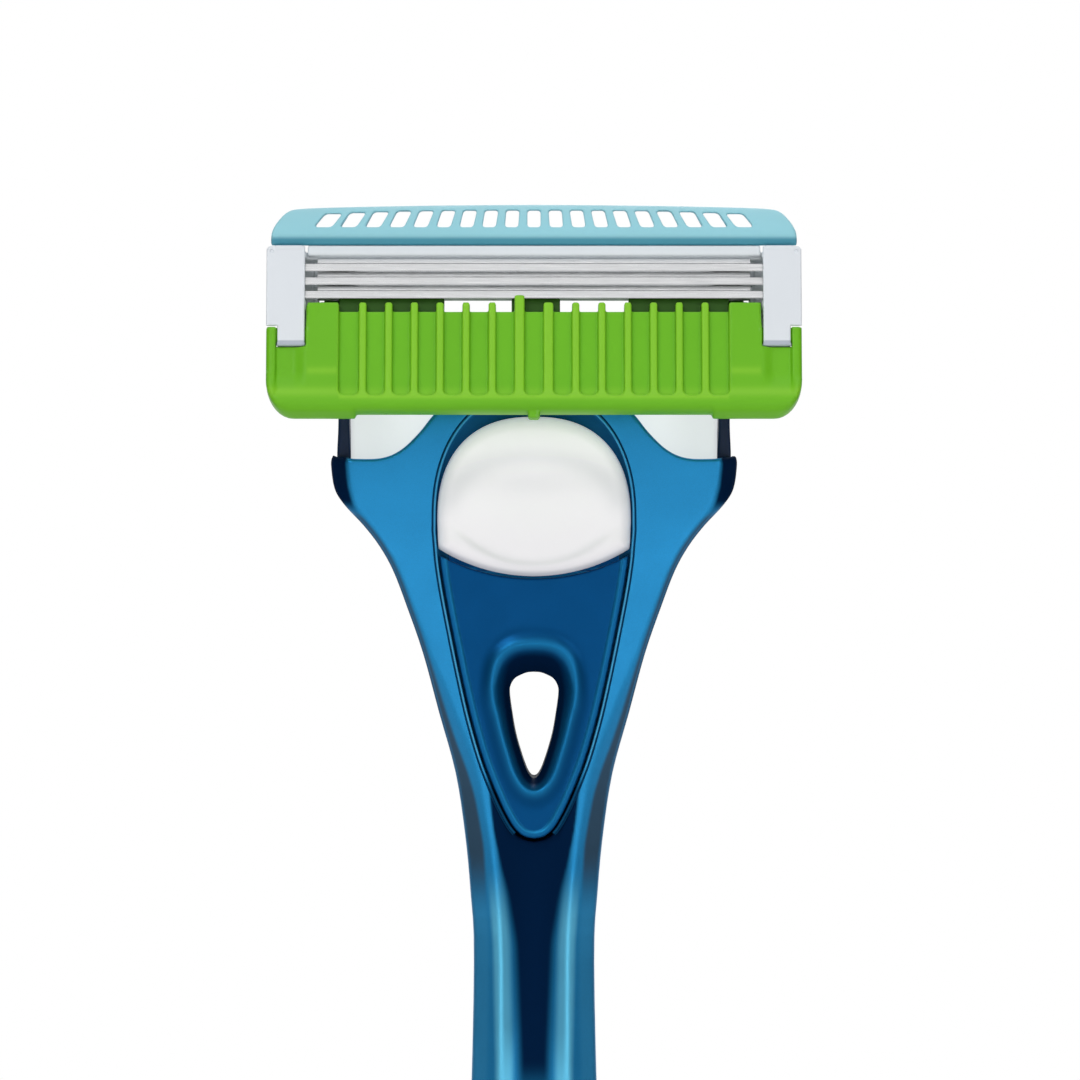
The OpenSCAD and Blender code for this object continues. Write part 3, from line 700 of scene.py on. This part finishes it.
def front_shell():
    z = stepped((-97, -34, -25, -13, 14.6, 26.6), (0.6, 0.3, 0.17, FINE, 0.17))
    x = stepped((-17, -8.4, 8.4, 17), (0.17, FINE, 0.17))
    g = Grid(x, stepped((-8.2, -4, 4.2), (0.15, 0.35)), z)
    outline = g.front(HANDLE)
    hub = g.front(HUB)
    inset = -distance(SIDES, g.xs, z)
    face = front_face(g.xs, z, inset)
    front = height_field(g, face)
    body = round_max(front, outline, 0.25)
    body = round_max(body, g.y - parting_depth(z)[None, None, :], 0.15)
    body = common(body, SHELL_END - g.z)
    body = round_max(body, -hub, 0.15)
    socket = g.box_pair((14.85, -5.45, 16.8), (16.0, 0.5, 30))
    body = cut(body, cavity(g, height_field(g, face + 2.1), outline), socket)
    # Floor of the button's pocket, and the ledge that the panel lies on
    floor = common(hub - 0.5, np.abs(g.y + 5.27) - 0.32, 12 - g.z)
    ledge = common(front + 1.85, -front - 2.7, hub - 0.4, -hub - 1.0, g.z - 12.2)
    body = union(body, common(union(floor, ledge), outline + 0.6))
    body = cut(body, common(grip_shape(g, FRONT_GRIP), height_field(g, face + GRIP_SINK)))
    piece, p = carve("front_shell_lacquered", g, body)
    # Painted shade in the hub, in the channel, on the sides of the arms and along the handle's outer edge; a painted
    # reflection band down the flanks; painted highlights down the stem
    at = g.sample(inset[:, None, :], p)
    inside = g.sample(hub, p)
    x, y, z = np.abs(p[:, 0]), p[:, 1], p[:, 2]
    fore = step(-(y - front_depth(z)), -5, -4)
    channel = step((channel_edge(z) - x) / channel_blur(z), 0, 1)
    channel = channel * step(-z, 6.8, 8.2) * step(z, -36, -30)
    flank = step(band_width(z) - at, -0.1, 0.15)
    rim = 0.75 * step(-at, -0.18, -0.05) * step(front_depth(z) - y, -2.6, -1.2)
    rim = rim * (1 - step(z, 14, 15)) * step(z, -32, -22)
    sunk = 0.7 * step(-inside, 0, 0.15) * step(y - front_depth(z), 0.25, 0.6) * (1 - 0.2 * step(z, 9.5, 10.5))
    paint(piece, "painted_shade", common(channel * fore, flank * step(z, 14.2, 15.6), sunk, rim))
    painted_reflection = step(painted_reflection_width(z) - at, -0.15, 0.2) * fore * step(-z, -15, -14)
    paint(piece, "painted_reflection", painted_reflection * step(z, -18.5, -13) * step(at, 0, 0.3))
    shine = step(x - shine_at(z), -1.15, -0.5) * (1 - step(x - shine_at(z), 0.3, 0.75)) * step(-z, 14, 19.5)
    shine = shine + 0.15 * (1 - step(at, 1, 1.5)) * step(-z, 15, 19)
    paint(piece, "light", np.clip(shine, 0, 1) * fore * step(z, -60, -30))
    return piece


def back_shell():
    g = Grid(axis(-17.2, 17.2, 0.25), axis(-1.6, 9.8, 0.25), stepped((-97, -26, 26.6), (0.6, 0.25)))
    outline = g.front(HANDLE)
    face = back_face(g)
    body = round_max(-height_field(g, face), outline, 1.6)
    body = round_max(body, parting_depth(g.zs)[None, None, :] - g.y, 0.15)
    body = common(body, SHELL_END - g.z)
    body = cut(body, cavity(g, -height_field(g, face - WALL), outline))
    body = round_max(body, 0.95 - g.front(both(smooth(HOLE))), 0.3)
    body = cut(body, common(grip_shape(g, BACK_GRIP), -height_field(g, face - GRIP_SINK)))
    return carve("back_shell_lacquered", g, body)[0]


def back_face(g):
    """Depth of the back shell's face: crowned across down the stem, flat across at the neck."""
    across = np.abs(g.xs)[:, None] / 6.5
    crown = 0.45 * across**2 * step(-g.zs, -2, 20)[None, :]
    return (back_depth(g.zs)[None, :] - crown).astype(np.float32)


def hub_line(name, offset, r, light, painted_shade):
    """A fine line along the edge of the hub and the panel's opening, that many millimetres outside it, carrying as
    much painted highlight and painted shade as asked.
    """
    half = np.vstack([ARCH, smooth(OPENING, 8)])
    half = half[half[:, 1] > -11.6]
    half = half[np.append(True, np.linalg.norm(np.diff(half, axis=0), axis=1) > 0.05)]
    along_it = np.gradient(half, axis=0)
    along_it /= np.linalg.norm(along_it, axis=1)[:, None]
    half = half + offset * np.column_stack([-along_it[:, 1], along_it[:, 0]])
    half[0, 0] = 0
    path = np.vstack([half[::-1], half[1:] * (-1, 1)])
    sink = 0.04 + 0.3 * step(-path[:, 1], 8.6, 11.2)
    path = np.column_stack([path[:, 0], front_depth(path[:, 1]) + sink, path[:, 1]])
    line = mesh_object(name, *sweep(path, r))
    z = np.array([v.co.z for v in line.data.vertices]) / MM
    # Painted highlight along the panel's opening; painted shade over the whole line by the given amount, and down in
    # the channel
    paint(line, "light", light * step(z, -7.5, -4.5) * (1 - 0.4 * step(z, 9, 12)))
    paint(line, "painted_shade", np.maximum(painted_shade, 0.8 * step(-z, 6.2, 8.2)))
    line.data.materials.append(BLUE)
    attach(line, "handle")


def insert_panel():
    g = Grid(axis(-8, 8, 0.11), stepped((-8.4, -3.5, 7), (0.14, 0.3)), axis(-12.6, 12.6, 0.11))
    sides = g.front(HUB)[:, 0, :] + 0.26
    under = 16.4 - np.hypot(g.x, g.z - BUTTON_LOW - 16.2)
    outline = common(sides[:, None, :], under)
    hole = g.front(both(smooth(HOLE)))
    out, away = hole[:, 0, :], g.front(both(smooth(RING)))[:, 0, :]
    face = front_depth(g.zs)[None, :] + 0.3 - 0.16 * step(sides, -0.62, -0.45)
    face = face - 0.5 * np.where(away > 0, bell(away, 0.75), 1)
    sink = np.clip(-away / (np.maximum(-away, 0) + np.maximum(out, 0) + 1e-4), 0, 1)
    for _ in range(8):
        sink[1:-1] = (sink[:-2] + 2 * sink[1:-1] + sink[2:]) / 4
    face = (face + 2.6 * sink**1.4 * (away < 0.2)).astype(np.float32)
    plate = common(round_max(height_field(g, face), outline, 0.08), -height_field(g, face + 1.4))
    back = g.y - back_depth(g.zs)[None, None, :] - 0.05
    tube = common(hole - 0.9, height_field(g, face), back)
    piece, p = carve("insert_panel_lacquered", g, cut(union(plate, tube), hole))
    ring, rim = g.sample(away[:, None, :], p), g.sample(sides[:, None, :], p)
    sunk = p[:, 1] - front_depth(p[:, 2])
    near = g.sample(hole, p)
    # Painted highlights on the ring round the hole and along the panel's edge; painted shade inside the ring and down
    # the hole
    lines = 0.42 * bell(rim + 0.5, 0.1) + 0.1 * step(rim, -0.5, -0.3) * step(-rim, 0.05, 0.2)
    paint(piece, "light", 0.24 * bell(ring, 0.45) + lines * step(-sunk, -0.6, -0.3))
    paint(piece, "painted_shade", np.maximum(step(-ring, 0.3, 1.1), step(-near, -0.75, -0.35)))
    return piece


def button_outline(g):
    """Squared round top, and a wide arc below."""
    top = squared_arc(BUTTON_HALF, BUTTON_RISE, BUTTON_MID, 0.84, 24)
    b = np.radians(np.linspace(32, 0, 14))
    low = np.column_stack([BUTTON_SAG_R * np.sin(b), BUTTON_LOW + BUTTON_SAG_R * (1 - np.cos(b))])
    return g.front(both(top, low))


def above_low_arc(x, z):
    return BUTTON_SAG_R - np.hypot(x, z - BUTTON_LOW - BUTTON_SAG_R)


def past_crease(x, z):
    return np.hypot(x, z - 18.8) - 8.4


def eject_button():
    g = even_grid(0.13, (-8.4, 8.4), (-9.4, -5), (9, 22.8))
    x, z = g.xs[:, None], g.zs[None, :]
    dome = BUTTON_FACE + ((x / BUTTON_HALF) ** 2 * 0.55 + ((z - 15.2) / 8) ** 2 * 0.75)
    dish = 0.65 * bell(np.hypot(x / 5.2, (z - 15.8) / 3.6), 0.75)
    lip = -0.3 * step(past_crease(x, z), -0.3, 0.3) * (1 - step(z, 12, 13.6)) * step(above_low_arc(x, z), -0.3, 0.4)
    body = round_max(height_field(g, dome + dish + lip), button_outline(g), 1.1)
    body = round_max(body, g.y - BUTTON_BACK, 0.1)
    piece, p = carve("eject_button_domed", g, body)
    x, z = p[:, 0], p[:, 2]
    # Painted light on the upper part, which the head shades: the button glows more there
    paint(piece, "light", (0.2 * step(z, 11, 16) + 0.9 * step(z, 16.5, 21.5)) * step(-p[:, 1], 6, 7))
    # Soft shadows in the crease, at the lower edge, in a ring below the top edge and at the dish's upper side
    power = 2.4
    ring = ((np.abs(x) / 7) ** power + (np.maximum(z - BUTTON_MID, 0) / 5.3) ** power) ** (1 / power)
    shadow = 0.3 * bell(past_crease(x, z), 0.4) * (1 - step(z, 11.6, 13.4))
    shadow = shadow + 0.45 * step(-above_low_arc(x, z), -0.5, 0)
    shadow = shadow + 0.45 * bell(ring - 1, 0.16) * step(z, 13.5, 16) + 0.2 * bell(np.hypot(x / 3.6, z - 17), 1.1)
    paint(piece, "painted_shade", shadow)
    return piece


def neck_core():
    g = even_grid(0.2, (-15.2, 15.2), (-5.4, 1), (9.2, 25.8))
    outline = g.front(both([(0, 25.2), (14.88, 25.2), (14.88, 17.2), (12.2, 14.8), (10, 12.4), (0, 12.4)]))
    x, z = g.xs[:, None], g.zs[None, :]
    face = -4.8 + 0.5 * bell(np.hypot(np.abs(x) - 11.8, (z - 22.8) * 0.8), 2.6)
    plate = round_max(round_max(height_field(g, face), outline, 0.3), g.y + 3, 0.2)
    off_axis = np.hypot(g.x, g.y - PLUNGER_Y)
    body = round_min(plate, common(off_axis - 1.85, np.abs(g.z - 18.1) - 7.1), 0.3)
    bore = common(off_axis - 1.25, 12.5 - g.z)
    slots = g.box_pair((3.1, -6, 11.9), (4.7, -2, 17.2), 0.2)
    piece, p = carve("neck_core_moulded", g, cut(body, bore, slots))
    # Painted light on the plate's upper middle: the core glows more there
    paint(piece, "light", step(-np.abs(p[:, 0]), -13.5, -9.5) * step(p[:, 2], 17.5, 20))
    return piece


def grip(name, front):
    """A rubber inlay with raised bars across it, which are lower where the object rests on its back."""
    z0, z1 = FRONT_GRIP if front else BACK_GRIP
    y0, y1 = (-5.2, 0.6) if front else (2.4, 9.9)
    g = even_grid(0.2, (-5.4, 5.4), (y0, y1), (z0 - 1, z1 + 1))
    outline = g.front(HANDLE)
    z = g.zs
    if front:
        face, sign = front_face(g.xs, z, -outline[:, 0, :]), 1
    else:
        face, sign = back_face(g), -1
    shape = grip_shape(g, (z0, z1))[:, 0, :]
    rise = 0.1 + 0.3 * (0.5 + 0.5 * np.cos(2 * pi * z / GROOVE_STEP))[None, :] * step(-shape, 0.7, 1.3)
    rested = np.ones_like(rise) if front else 1 - 0.6 * step(-np.abs(z + 56), -11, -9)[None, :]
    outer = (face - sign * rise * rested).astype(np.float32)
    body = round_max(sign * height_field(g, outer), shape[:, None, :] + 0.06, 0.3)
    body = common(body, -sign * height_field(g, face + sign * 1.05))
    if not front:
        body = common(body, g.y - REST_Y)
    return carve(name, g, body)[0]


def tail_cap():
    g = even_grid(0.2, (-6.2, 6.2), (-6.2, 5.8), (-111.6, -91.4))
    outline = g.front(HANDLE)
    face = front_face(g.xs, g.zs, -outline[:, 0, :])
    body = round_max(height_field(g, face), -height_field(g, back_face(g)), 1.5)
    body = round_max(body, outline, 1.6)
    body = round_max(body, g.z - SHELL_END, 0.2)
    seam = common(np.abs(g.z - SHELL_END + 1.6) - 0.25, -body - 0.25)
    plug = g.box((-4.1, -2.7, -97), (4.1, 3.4, -92), 0.2)
    return carve("tail_cap_moulded", g, union(cut(body, seam), plug))[0]


def cartridge_yoke():
    g = even_grid(0.15, (-16.4, 16.4), (-10.2, 1.2), (16.4, 31.6))
    low, top = YOKE_BAR
    arm = smooth([(-9.3, 30.6), (-8, 31.1), (-6.8, 30.5), (-5.4, 28.4), (-3.4, 26.9), (-1.5, top), (0.7, top)])
    arm = np.vstack([arm, [(0.7, low), (-1.4, 23), (-1.4, 17.1), (-1.7, 16.9), (-5, 16.9), (-5.3, 17.2)],
                     smooth([(-5.6, 22), (-7, 26), (-9.4, 28.6)])])
    off_arm = np.abs(np.abs(g.x) - ARM_X)
    off_pivot = np.hypot(g.y - PIVOT_Y, g.z - PIVOT_Z)
    body = round_max(g.side(arm), off_arm - 0.46 - 0.1 * step(-g.z, -22, -19), 0.2)
    boss = round_max(off_pivot - 1.6, off_arm - 0.52, 0.15)
    pin = round_max(off_pivot - 0.9, np.abs(np.abs(g.x) - 14) - 1.3, 0.15)
    bar = g.box((-15.9, -1.3, low), (15.9, 0.7, top), 0.35)
    return carve("cartridge_yoke_moulded", g, union(round_min(body, bar, 0.4), boss, pin))[0]


# ---- cartridge, in the head's frame ----

RIB_X = [1.16, 3.35, 5.45, 7.54, 9.6, 11.66, 13.74]
RIB_HALF, MIDDLE_RIB_HALF = 0.3, 0.4
GUARD_HALF = 21.5
BAY_END = 15.65  # half width of the ribbed part
BAY_BOTTOM = -6.65
rib_face = along([(-3.75, 5), (-3.75, 1.24), (-4.12, 0.7), (-4.2, -1), (-4.2, -4.8), (-4.35, -6), (-4.7, -6.8),
                  (-4.72, -7.4), (-4.4, -7.9), (-3.8, -8.2), (-3.4, -9)], blur=0.35)
bay_face = along([(-3.72, 5), (-3.72, -2), (-3.78, -4.4), (-3.9, -6.6), (-3.9, -9)])


def comb_guard():
    g = even_grid(FINE, (-21.9, 21.9), (-5.2, -0.8), (-8.8, 5))
    corner = [(19.25 + 2.25 * cos(a), -5.2 - 3.05 * sin(a)) for a in np.radians(np.arange(0, 91, 10))]
    outline = both([(0, 60), (GUARD_HALF, 60), *corner, (14.35, -8.25), (14.2, -7.92), (0, -7.92)])
    x, z = g.xs[:, None], g.zs[None, :]
    far = np.abs(x) + 0 * z
    # The lip follows the bottom edge and turns up round the corners, where it fades into the wings
    rim = np.minimum(z, -8.1 + 1.3 * np.maximum(GUARD_HALF - far, 0) + 0.35 * (z + 8.1))
    wing = step(z, -6.3, -4.4) * step(far, 18.2, 19.4)
    face = rib_face(np.clip(rim, -9, 0.5).ravel()).reshape(rim.shape)
    face = face * (1 - wing) + np.where(far > 20.7, -4.05, -3.75) * wing
    body = round_max(height_field(g, face), g.y + 2.5, 0.3)
    body = round_max(body, g.front(outline), 0.45)
    body = common(body, g.z - 1.08 + 1.98 * step(np.abs(g.x), 18.25, 18.35))
    # Bays between the ribs, with round bottoms above the lip
    bays = FAR
    edges = [r + side for r in RIB_X[1:] for side in (-RIB_HALF, RIB_HALF)]
    edges = [RIB_X[0] + MIDDLE_RIB_HALF, *edges, BAY_END]
    for lo, hi in [(-0.76, 0.76), *zip(edges[::2], edges[1::2])]:
        centre, half = (lo + hi) / 2, (hi - lo) / 2
        at = np.abs((g.x if lo < 0 else np.abs(g.x)) - centre) - half
        bays = union(bays, round_max(at, BAY_BOTTOM - g.z, 0.5))
    bays = common(bays, g.y - bay_face(g.zs)[None, None, :])
    body = round_max(body, -bays, 0.13)
    body = cut(body, common(0.42 - g.z, np.abs(g.x) - BAY_END, -ribs_at(g)))
    # The tall rib beside the middle, the wall behind with its two windows, and the hooks at its ends
    tall = g.box((-1.56, -4.2, 0), (-0.76, -3.8, 1.7), 0.13)
    wall = g.box((-15.7, -2.95, -0.5), (15.7, -2.5, 1.75), 0.06)
    wall = cut(wall, *(g.box((x0, -3.3, 0.42), (x1, -2, 3), 0.06) for x0, x1 in ((-7.2, -1.8), (2.1, 7.6))))
    foot = g.box_pair((16.1, -2.6, 0), (17.25, -1.3, 1.5), 0.1)
    post = g.box_pair((16.1, -2.1, 0), (16.9, -1.3, 4.4), 0.1)
    hook = g.box_pair((14.3, -2.1, 1.4), (16.9, -1.3, 4.4), 0.15)
    body = union(body, tall, wall, foot, post, hook)
    tab = g.box((-0.48, -4.2, -8.42), (0.48, -3, -7.6), 0.2)
    pocket = g.box_pair((18.3, -6, -2.54), (20.7, -3.67, 1.5), 0.08)
    slot = g.box_pair((18.3, -6, -2.49), (20.7, -2, -2.09), 0.05)
    body = cut(round_min(body, tab, 0.1), pocket, slot)
    piece, p = carve("comb_guard_moulded", g, body, head=True)
    x, y, z = np.abs(p[:, 0]), p[:, 1], p[:, 2]
    # Painted highlights on the ribs' fronts, along the end blocks' steps, along the lip's rolled edge and at the
    # bays' round bottoms; painted shade on the wall behind, where the blades shade it
    inset = (1 - step(x, 15.6, 15.8)) * step(-y, 3.85, 4.1)
    lines = bell(z + 4.55, 0.3) * step(x, 15.7, 15.9) * (1 - step(x, 18, 18.4)) + bell(z + 6.35, 0.45)
    lines = lines + bell(z + 6.78, 0.24) * (1 - step(x, 15.5, 15.7))
    paint(piece, "light", np.clip(inset * step(z, -6.6, -6) + 0.8 * lines * step(-y, 3.6, 3.8), 0, 1))
    paint(piece, "painted_shade", step(y, -3.35, -3.05) * step(z, -0.2, 0.3))
    return piece


def ribs_at(g):
    """Where the ribs stand, seen from the front."""
    halves = [MIDDLE_RIB_HALF] + [RIB_HALF] * (len(RIB_X) - 1)
    return union(FAR, *(np.abs(np.abs(g.x) - x) - half for x, half in zip(RIB_X, halves)))


CAP_OUTER = [(-3.55, 5.9), (-3.8, 6.2), (-4.08, 6.55), (-4.13, 6.8), (-4, 7.3), (-3.5, 8.1), (-2.6, 9), (-1.6, 9.75),
             (-0.6, 10.35)]
CAP_INNER = [(-0.3, 9.9), (-1.1, 9.1), (-2, 8.3), (-2.7, 7.4), (-2.95, 7.05), (-3.2, 6.6), (-3.2, 5.9)]
SLOTS = 19
SLOT_SPACING = 1.755


def comfort_cap():
    g = even_grid(0.1, (-21.6, 21.6), (-4.6, -0.2), (5.5, 10.7))
    section = g.side(np.vstack([smooth(CAP_OUTER), CAP_INNER]))
    ends = g.front(both(smooth([(0, 9.98), (8, 9.88), (15.8, 9.62), (18.8, 9.42), (19.8, 9.1), (20.5, 8.2), (21, 7.2),
                                (21.15, 6.5), (21.15, 5.9)])))
    body = round_max(section, ends, 0.25)
    for x in (-14, 0, 14):
        foot = g.side([(-2.9, 7.2), (-2.4, 7.02), (-1.2, 7.02), (-1.2, 9.1), (-2, 8.4)])
        body = union(body, common(foot, np.abs(g.x - x) - 2))
    # The slots run straight back in the handle's frame, so level is the height in that frame
    level = g.z * cos(HEAD_TILT) - g.y * sin(HEAD_TILT)
    slots = FAR
    for n in range(-(SLOTS // 2), SLOTS // 2 + 1):
        lean = tan(radians(-4 * n))
        low = 0.3 * (abs(n) / 9) ** 3
        middle, tall = 8.74 - low / 2, 0.73 - low / 2
        centre = SLOT_SPACING * n * (1 + 0.0006 * n * n)
        across = np.abs(g.x - centre - (level - middle) * lean) * cos(atan(lean))
        slots = union(slots, round_max(across - 0.53 - 0.0005 * n * n, np.abs(level - middle) - tall, 0.22))
    piece, p = carve("comfort_cap_moulded", g, round_max(body, -slots, 0.1), head=True)
    # Painted shade along the cap's lower edge, which faces down
    paint(piece, "painted_shade", step(-p[:, 2], -6.62, -6.3) * step(-p[:, 1], 3.3, 3.5))
    return piece


def cartridge_frame():
    g = even_grid(0.14, (-20.9, 20.9), (-4.1, 6.2), (-2.6, 7.4))
    body = union(
        # The rail above the blades
        g.box((-18.2, -3.75, 5.06), (18.2, -2.4, 5.9), 0.1),
        g.box((-19, -3, 4.9), (19, -0.9, 5.5), 0.08),
        g.box((-18.2, -2.4, 5), (18.2, -0.9, 7), 0.15),
        # The side blocks and the bar between their feet
        g.box_pair((18.3, -3.6, 0.47), (20.5, -0.9, 5.5), 0.15),
        g.box_pair((18.3, -2.4, -2.15), (20.5, -0.9, 1), 0.15),
        g.box((-20.5, -2.4, -2.15), (20.5, -0.9, 0.2), 0.2),
        g.box_pair((17.3, -2.2, 0.6), (18.6, -1.2, 5.2), 0.1),
        g.box_pair((12.6, -1.6, -1.6), (14.7, 0, 0.15), 0.1),
    )
    off_pivot = np.hypot(g.y, g.z)
    lugs = round_max(off_pivot - 1.7, np.abs(np.abs(g.x) - 13.65) - 1.05, 0.2)
    cam_y, cam_z = CAM_REACH * cos(HEAD_TILT), CAM_REACH * sin(HEAD_TILT)
    cam = round_max(np.hypot(g.y - cam_y, g.z - cam_z) - 0.9, np.abs(g.x) - 1.6, 0.1)
    cam_arm = round_max(g.side([(-1.2, 0.1), (-1.2, -1.4), (4.8, 0.3), (4.8, 1.8)]), np.abs(g.x) - 1.2, 0.15)
    seat = g.box_pair((17.7, -5, 1.45), (19.6, -2, 4.9))
    room = g.box_pair((14.8, -1.75, -3), (16.05, 1, 1))
    bore = common(off_pivot - 0.95, np.abs(g.x) - 16)
    body = cut(union(body, lugs, cam, cam_arm), seat, room, bore)
    return carve("cartridge_frame_moulded", g, body, head=True)[0]


CLIP_LOW = -2.44


def end_clip(name, side):
    fine = 0.06
    x = axis(18.2, 21.7, fine)
    g = Grid(x if side > 0 else -x[::-1], axis(-4.3, -0.3, fine), axis(-2.7, 6.1, fine))
    h = Grid(np.abs(g.xs), g.axes[1], g.zs)  # both clips are shaped on the right
    front = h.front([(18.4, 5.78), (21.3, 5.78), (21.5, 5.56), (21.5, -0.8), (20.6, -0.8), (20.6, CLIP_LOW),
                     (18.4, CLIP_LOW)])
    plate = round_max(front, np.abs(h.y + 3.85) - 0.15, 0.12)
    fold = h.box((18.4, -4.0, CLIP_LOW), (20.6, -2.45, -2.19), 0.09)
    top = h.box((18.6, -4.0, 5.54), (20.8, -0.55, 5.84), 0.1)
    rear = h.box((18.6, -0.85, 3.6), (20.8, -0.55, 5.84), 0.1)
    body = round_min(round_min(round_min(plate, fold, 0.12), top, 0.12), rear, 0.12)
    dot = common(np.hypot(h.x - 21.08, h.z - 5.34) - 0.16, h.y + 3.9)
    piece, p = carve(name, g, cut(body, dot), head=True)
    # Painted shade on the fold at the clip's foot
    paint(piece, "painted_shade", 1 - step(p[:, 2], -2.1, -1.95))
    return piece


BLADE_LEAN = radians(20)
FIRST_EDGE = (-3.65, 3.78)  # y and z of the top blade's edge
BLADE_SPACING = 1.12


def leaned(section, n):
    """A section of the blade stack, leaned and set on blade n's edge."""
    out, up = np.array(section, float).T
    c, s = cos(BLADE_LEAN), sin(BLADE_LEAN)
    y, z = out * c + up * s, up * c - out * s
    return np.stack([y + FIRST_EDGE[0], z + FIRST_EDGE[1] - n * BLADE_SPACING], 1)


def blade(n):
    """One strip: two ground facets, a flat and a back facet."""
    section = [(0.012, 0), (0, 0.05), (-0.004, 0.12), (0, 0.2), (0, 0.69), (0.012, 0.7), (0.088, 0.7), (0.1, 0.69),
               (0.1, 0.24), (0.05, 0.1), (0.02, 0.02)]
    return extrude_x(f"blade_{n + 1}_ground", leaned(section, n), 19.4)


def blade_support(n):
    """One bent carrier with a rounded fold."""
    section = [(0.1, 0.3), (0.1, 0.78), (0.02, 0.8), (-0.01, 0.84), (-0.02, 1.12), (0.02, 1.21), (0.09, 1.27),
               (0.17, 1.28), (1.3, 0.78), (1.25, 0.58), (0.38, 0.95), (0.32, 0.9), (0.3, 0.84), (0.3, 0.3)]
    return extrude_x(f"blade_support_{n + 1}_bent", leaned(section, n), 17.4)


# ---- build ----

stand_for(front_shell(), "front_shell", BLUE)
# A bead at the opening's edge with a painted highlight, and beside it a fine dark bead, a painted shadow for the
# groove next to the bead
hub_line("hub_bead", -0.01, 0.1, light=0.4, painted_shade=0)
hub_line("hub_shadow_line", 0.16, 0.07, light=0, painted_shade=0.9)
stand_for(back_shell(), "back_shell", BLUE)
stand_for(insert_panel(), "insert_panel", DEEP_BLUE)
stand_for(eject_button(), "eject_button", BUTTON)
stand_for(neck_core(), "neck_core", CORE)
stand_for(grip("front_grip_ribbed", True), "front_grip", GRIP)
stand_for(grip("back_grip_ribbed", False), "back_grip", GRIP)
stand_for(tail_cap(), "tail_cap", NAVY)
stand_for(cartridge_yoke(), "cartridge_yoke", NAVY)
stand_for(comb_guard(), "comb_guard", GUARD)
stand_for(comfort_cap(), "comfort_cap", CAP)
stand_for(cartridge_frame(), "cartridge_frame", FRAME)
for hand, side in (("right", 1), ("left", -1)):
    stand_for(end_clip(f"end_clip_{hand}_folded", side), f"end_clip_{hand}", CLIP)
for n in range(3):
    stand_for(blade(n), f"blade_{n + 1}", BLADE)
    stand_for(blade_support(n), f"blade_support_{n + 1}", CARRIER)
for node, finish in (("grip_weight", SPRING), ("button_spring", SPRING), ("plunger_spring", SPRING),
                     ("button_pusher", BUTTON), ("plunger", CORE)):
    piece = frame["nodes"][node]
    piece.data.materials.clear()
    piece.data.materials.append(finish)

# ---- camera, floor and light ----

VIEW_WIDTH = 87.1  # millimetres across the picture, at the depth of the head
VIEW_X, VIEW_Z = 0.484, 12.33  # middle of the picture, in millimetres
LENS, SENSOR = 250, 36
camera = added("camera", bpy.data.cameras.new("camera"))
camera.data.lens = LENS
camera.data.sensor_width = SENSOR
camera.location = (VIEW_X * MM, (PIVOT_Y - 1 - VIEW_WIDTH * LENS / SENSOR) * MM, VIEW_Z * MM)
camera.rotation_euler = (radians(90), 0, 0)
bpy.context.scene.camera = camera


FLOOR_R = 430
FLOOR_GAP = 1.5  # from the object's lowest point


def floor():
    """A wide pale plate below the object."""
    n = Nodes("floor")
    n.set(Base_Color=n.mix(n.scaled(n.noise(0.01), 0, 1), (0.86, 0.86, 0.86), (0.9, 0.9, 0.9)), Roughness=0.8)
    n.bumps((n.noise(0.4), 0.05))
    a = np.radians(np.arange(0, 360, 5))
    level = np.full(len(a), cad_box[0].z / MM - FLOOR_GAP)
    rim = np.stack([FLOOR_R * np.cos(a), FLOOR_R * np.sin(a), level], 1)
    mesh = bpy.data.meshes.new("floor")
    mesh.from_pydata((rim * MM).tolist(), [], [tuple(range(len(a)))])
    mesh.materials.append(n.material)
    added("floor", mesh)


def light(name, at, size, power):
    """A soft square light at a place in millimetres, aimed at the middle."""
    made = added(name, bpy.data.lights.new(name, "AREA"))
    made.data.size = size * MM
    made.data.energy = power
    made.location = Vector(at) * MM
    made.rotation_euler = Vector(at).to_track_quat("Z", "Y").to_euler()


def world():
    """White behind the object, and a softer room for light and reflections."""
    made = bpy.data.worlds.new("studio")
    bpy.context.scene.world = made
    made.use_nodes = True
    nodes, link = made.node_tree.nodes, made.node_tree.links.new
    seen = nodes["Background"]
    fill(seen, Color=(1, 1, 1, 1))
    kinds = ("Background", "TexCoord", "SeparateXYZ", "Math", "ValToRGB", "MapRange", "LightPath", "MixShader")
    room, place, split, sides, across, height, path, mixed = (nodes.new("ShaderNode" + kind) for kind in kinds)
    sides.operation = "ABSOLUTE"
    for end, at, colour in zip(across.color_ramp.elements, (0.3, 0.85), ((1, 1, 1, 1), (0.08, 0.09, 0.11, 1))):
        end.position, end.color = at, colour
    fill(height, From_Min=-0.9, From_Max=-0.3, To_Min=0.3, To_Max=0.88)
    link(place.outputs["Generated"], split.inputs[0])
    link(split.outputs["X"], sides.inputs[0])
    link(sides.outputs[0], across.inputs[0])
    link(split.outputs["Z"], height.inputs["Value"])
    link(across.outputs["Color"], room.inputs["Color"])
    link(height.outputs["Result"], room.inputs["Strength"])
    link(path.outputs["Is Camera Ray"], mixed.inputs[0])
    link(room.outputs[0], mixed.inputs[1])
    link(seen.outputs[0], mixed.inputs[2])
    link(mixed.outputs[0], nodes["World Output"].inputs[0])


floor()
light("key", (-260, -420, 330), 260, 0.65)
light("fill", (300, -420, 120), 300, 0.25)
light("low", (0, -430, -280), 400, 1.4)
light("top", (0, -60, 450), 300, 0.2)
light("rear", (120, 420, 260), 300, 0.4)
world()
bpy.context.scene.view_settings.view_transform = "Standard"
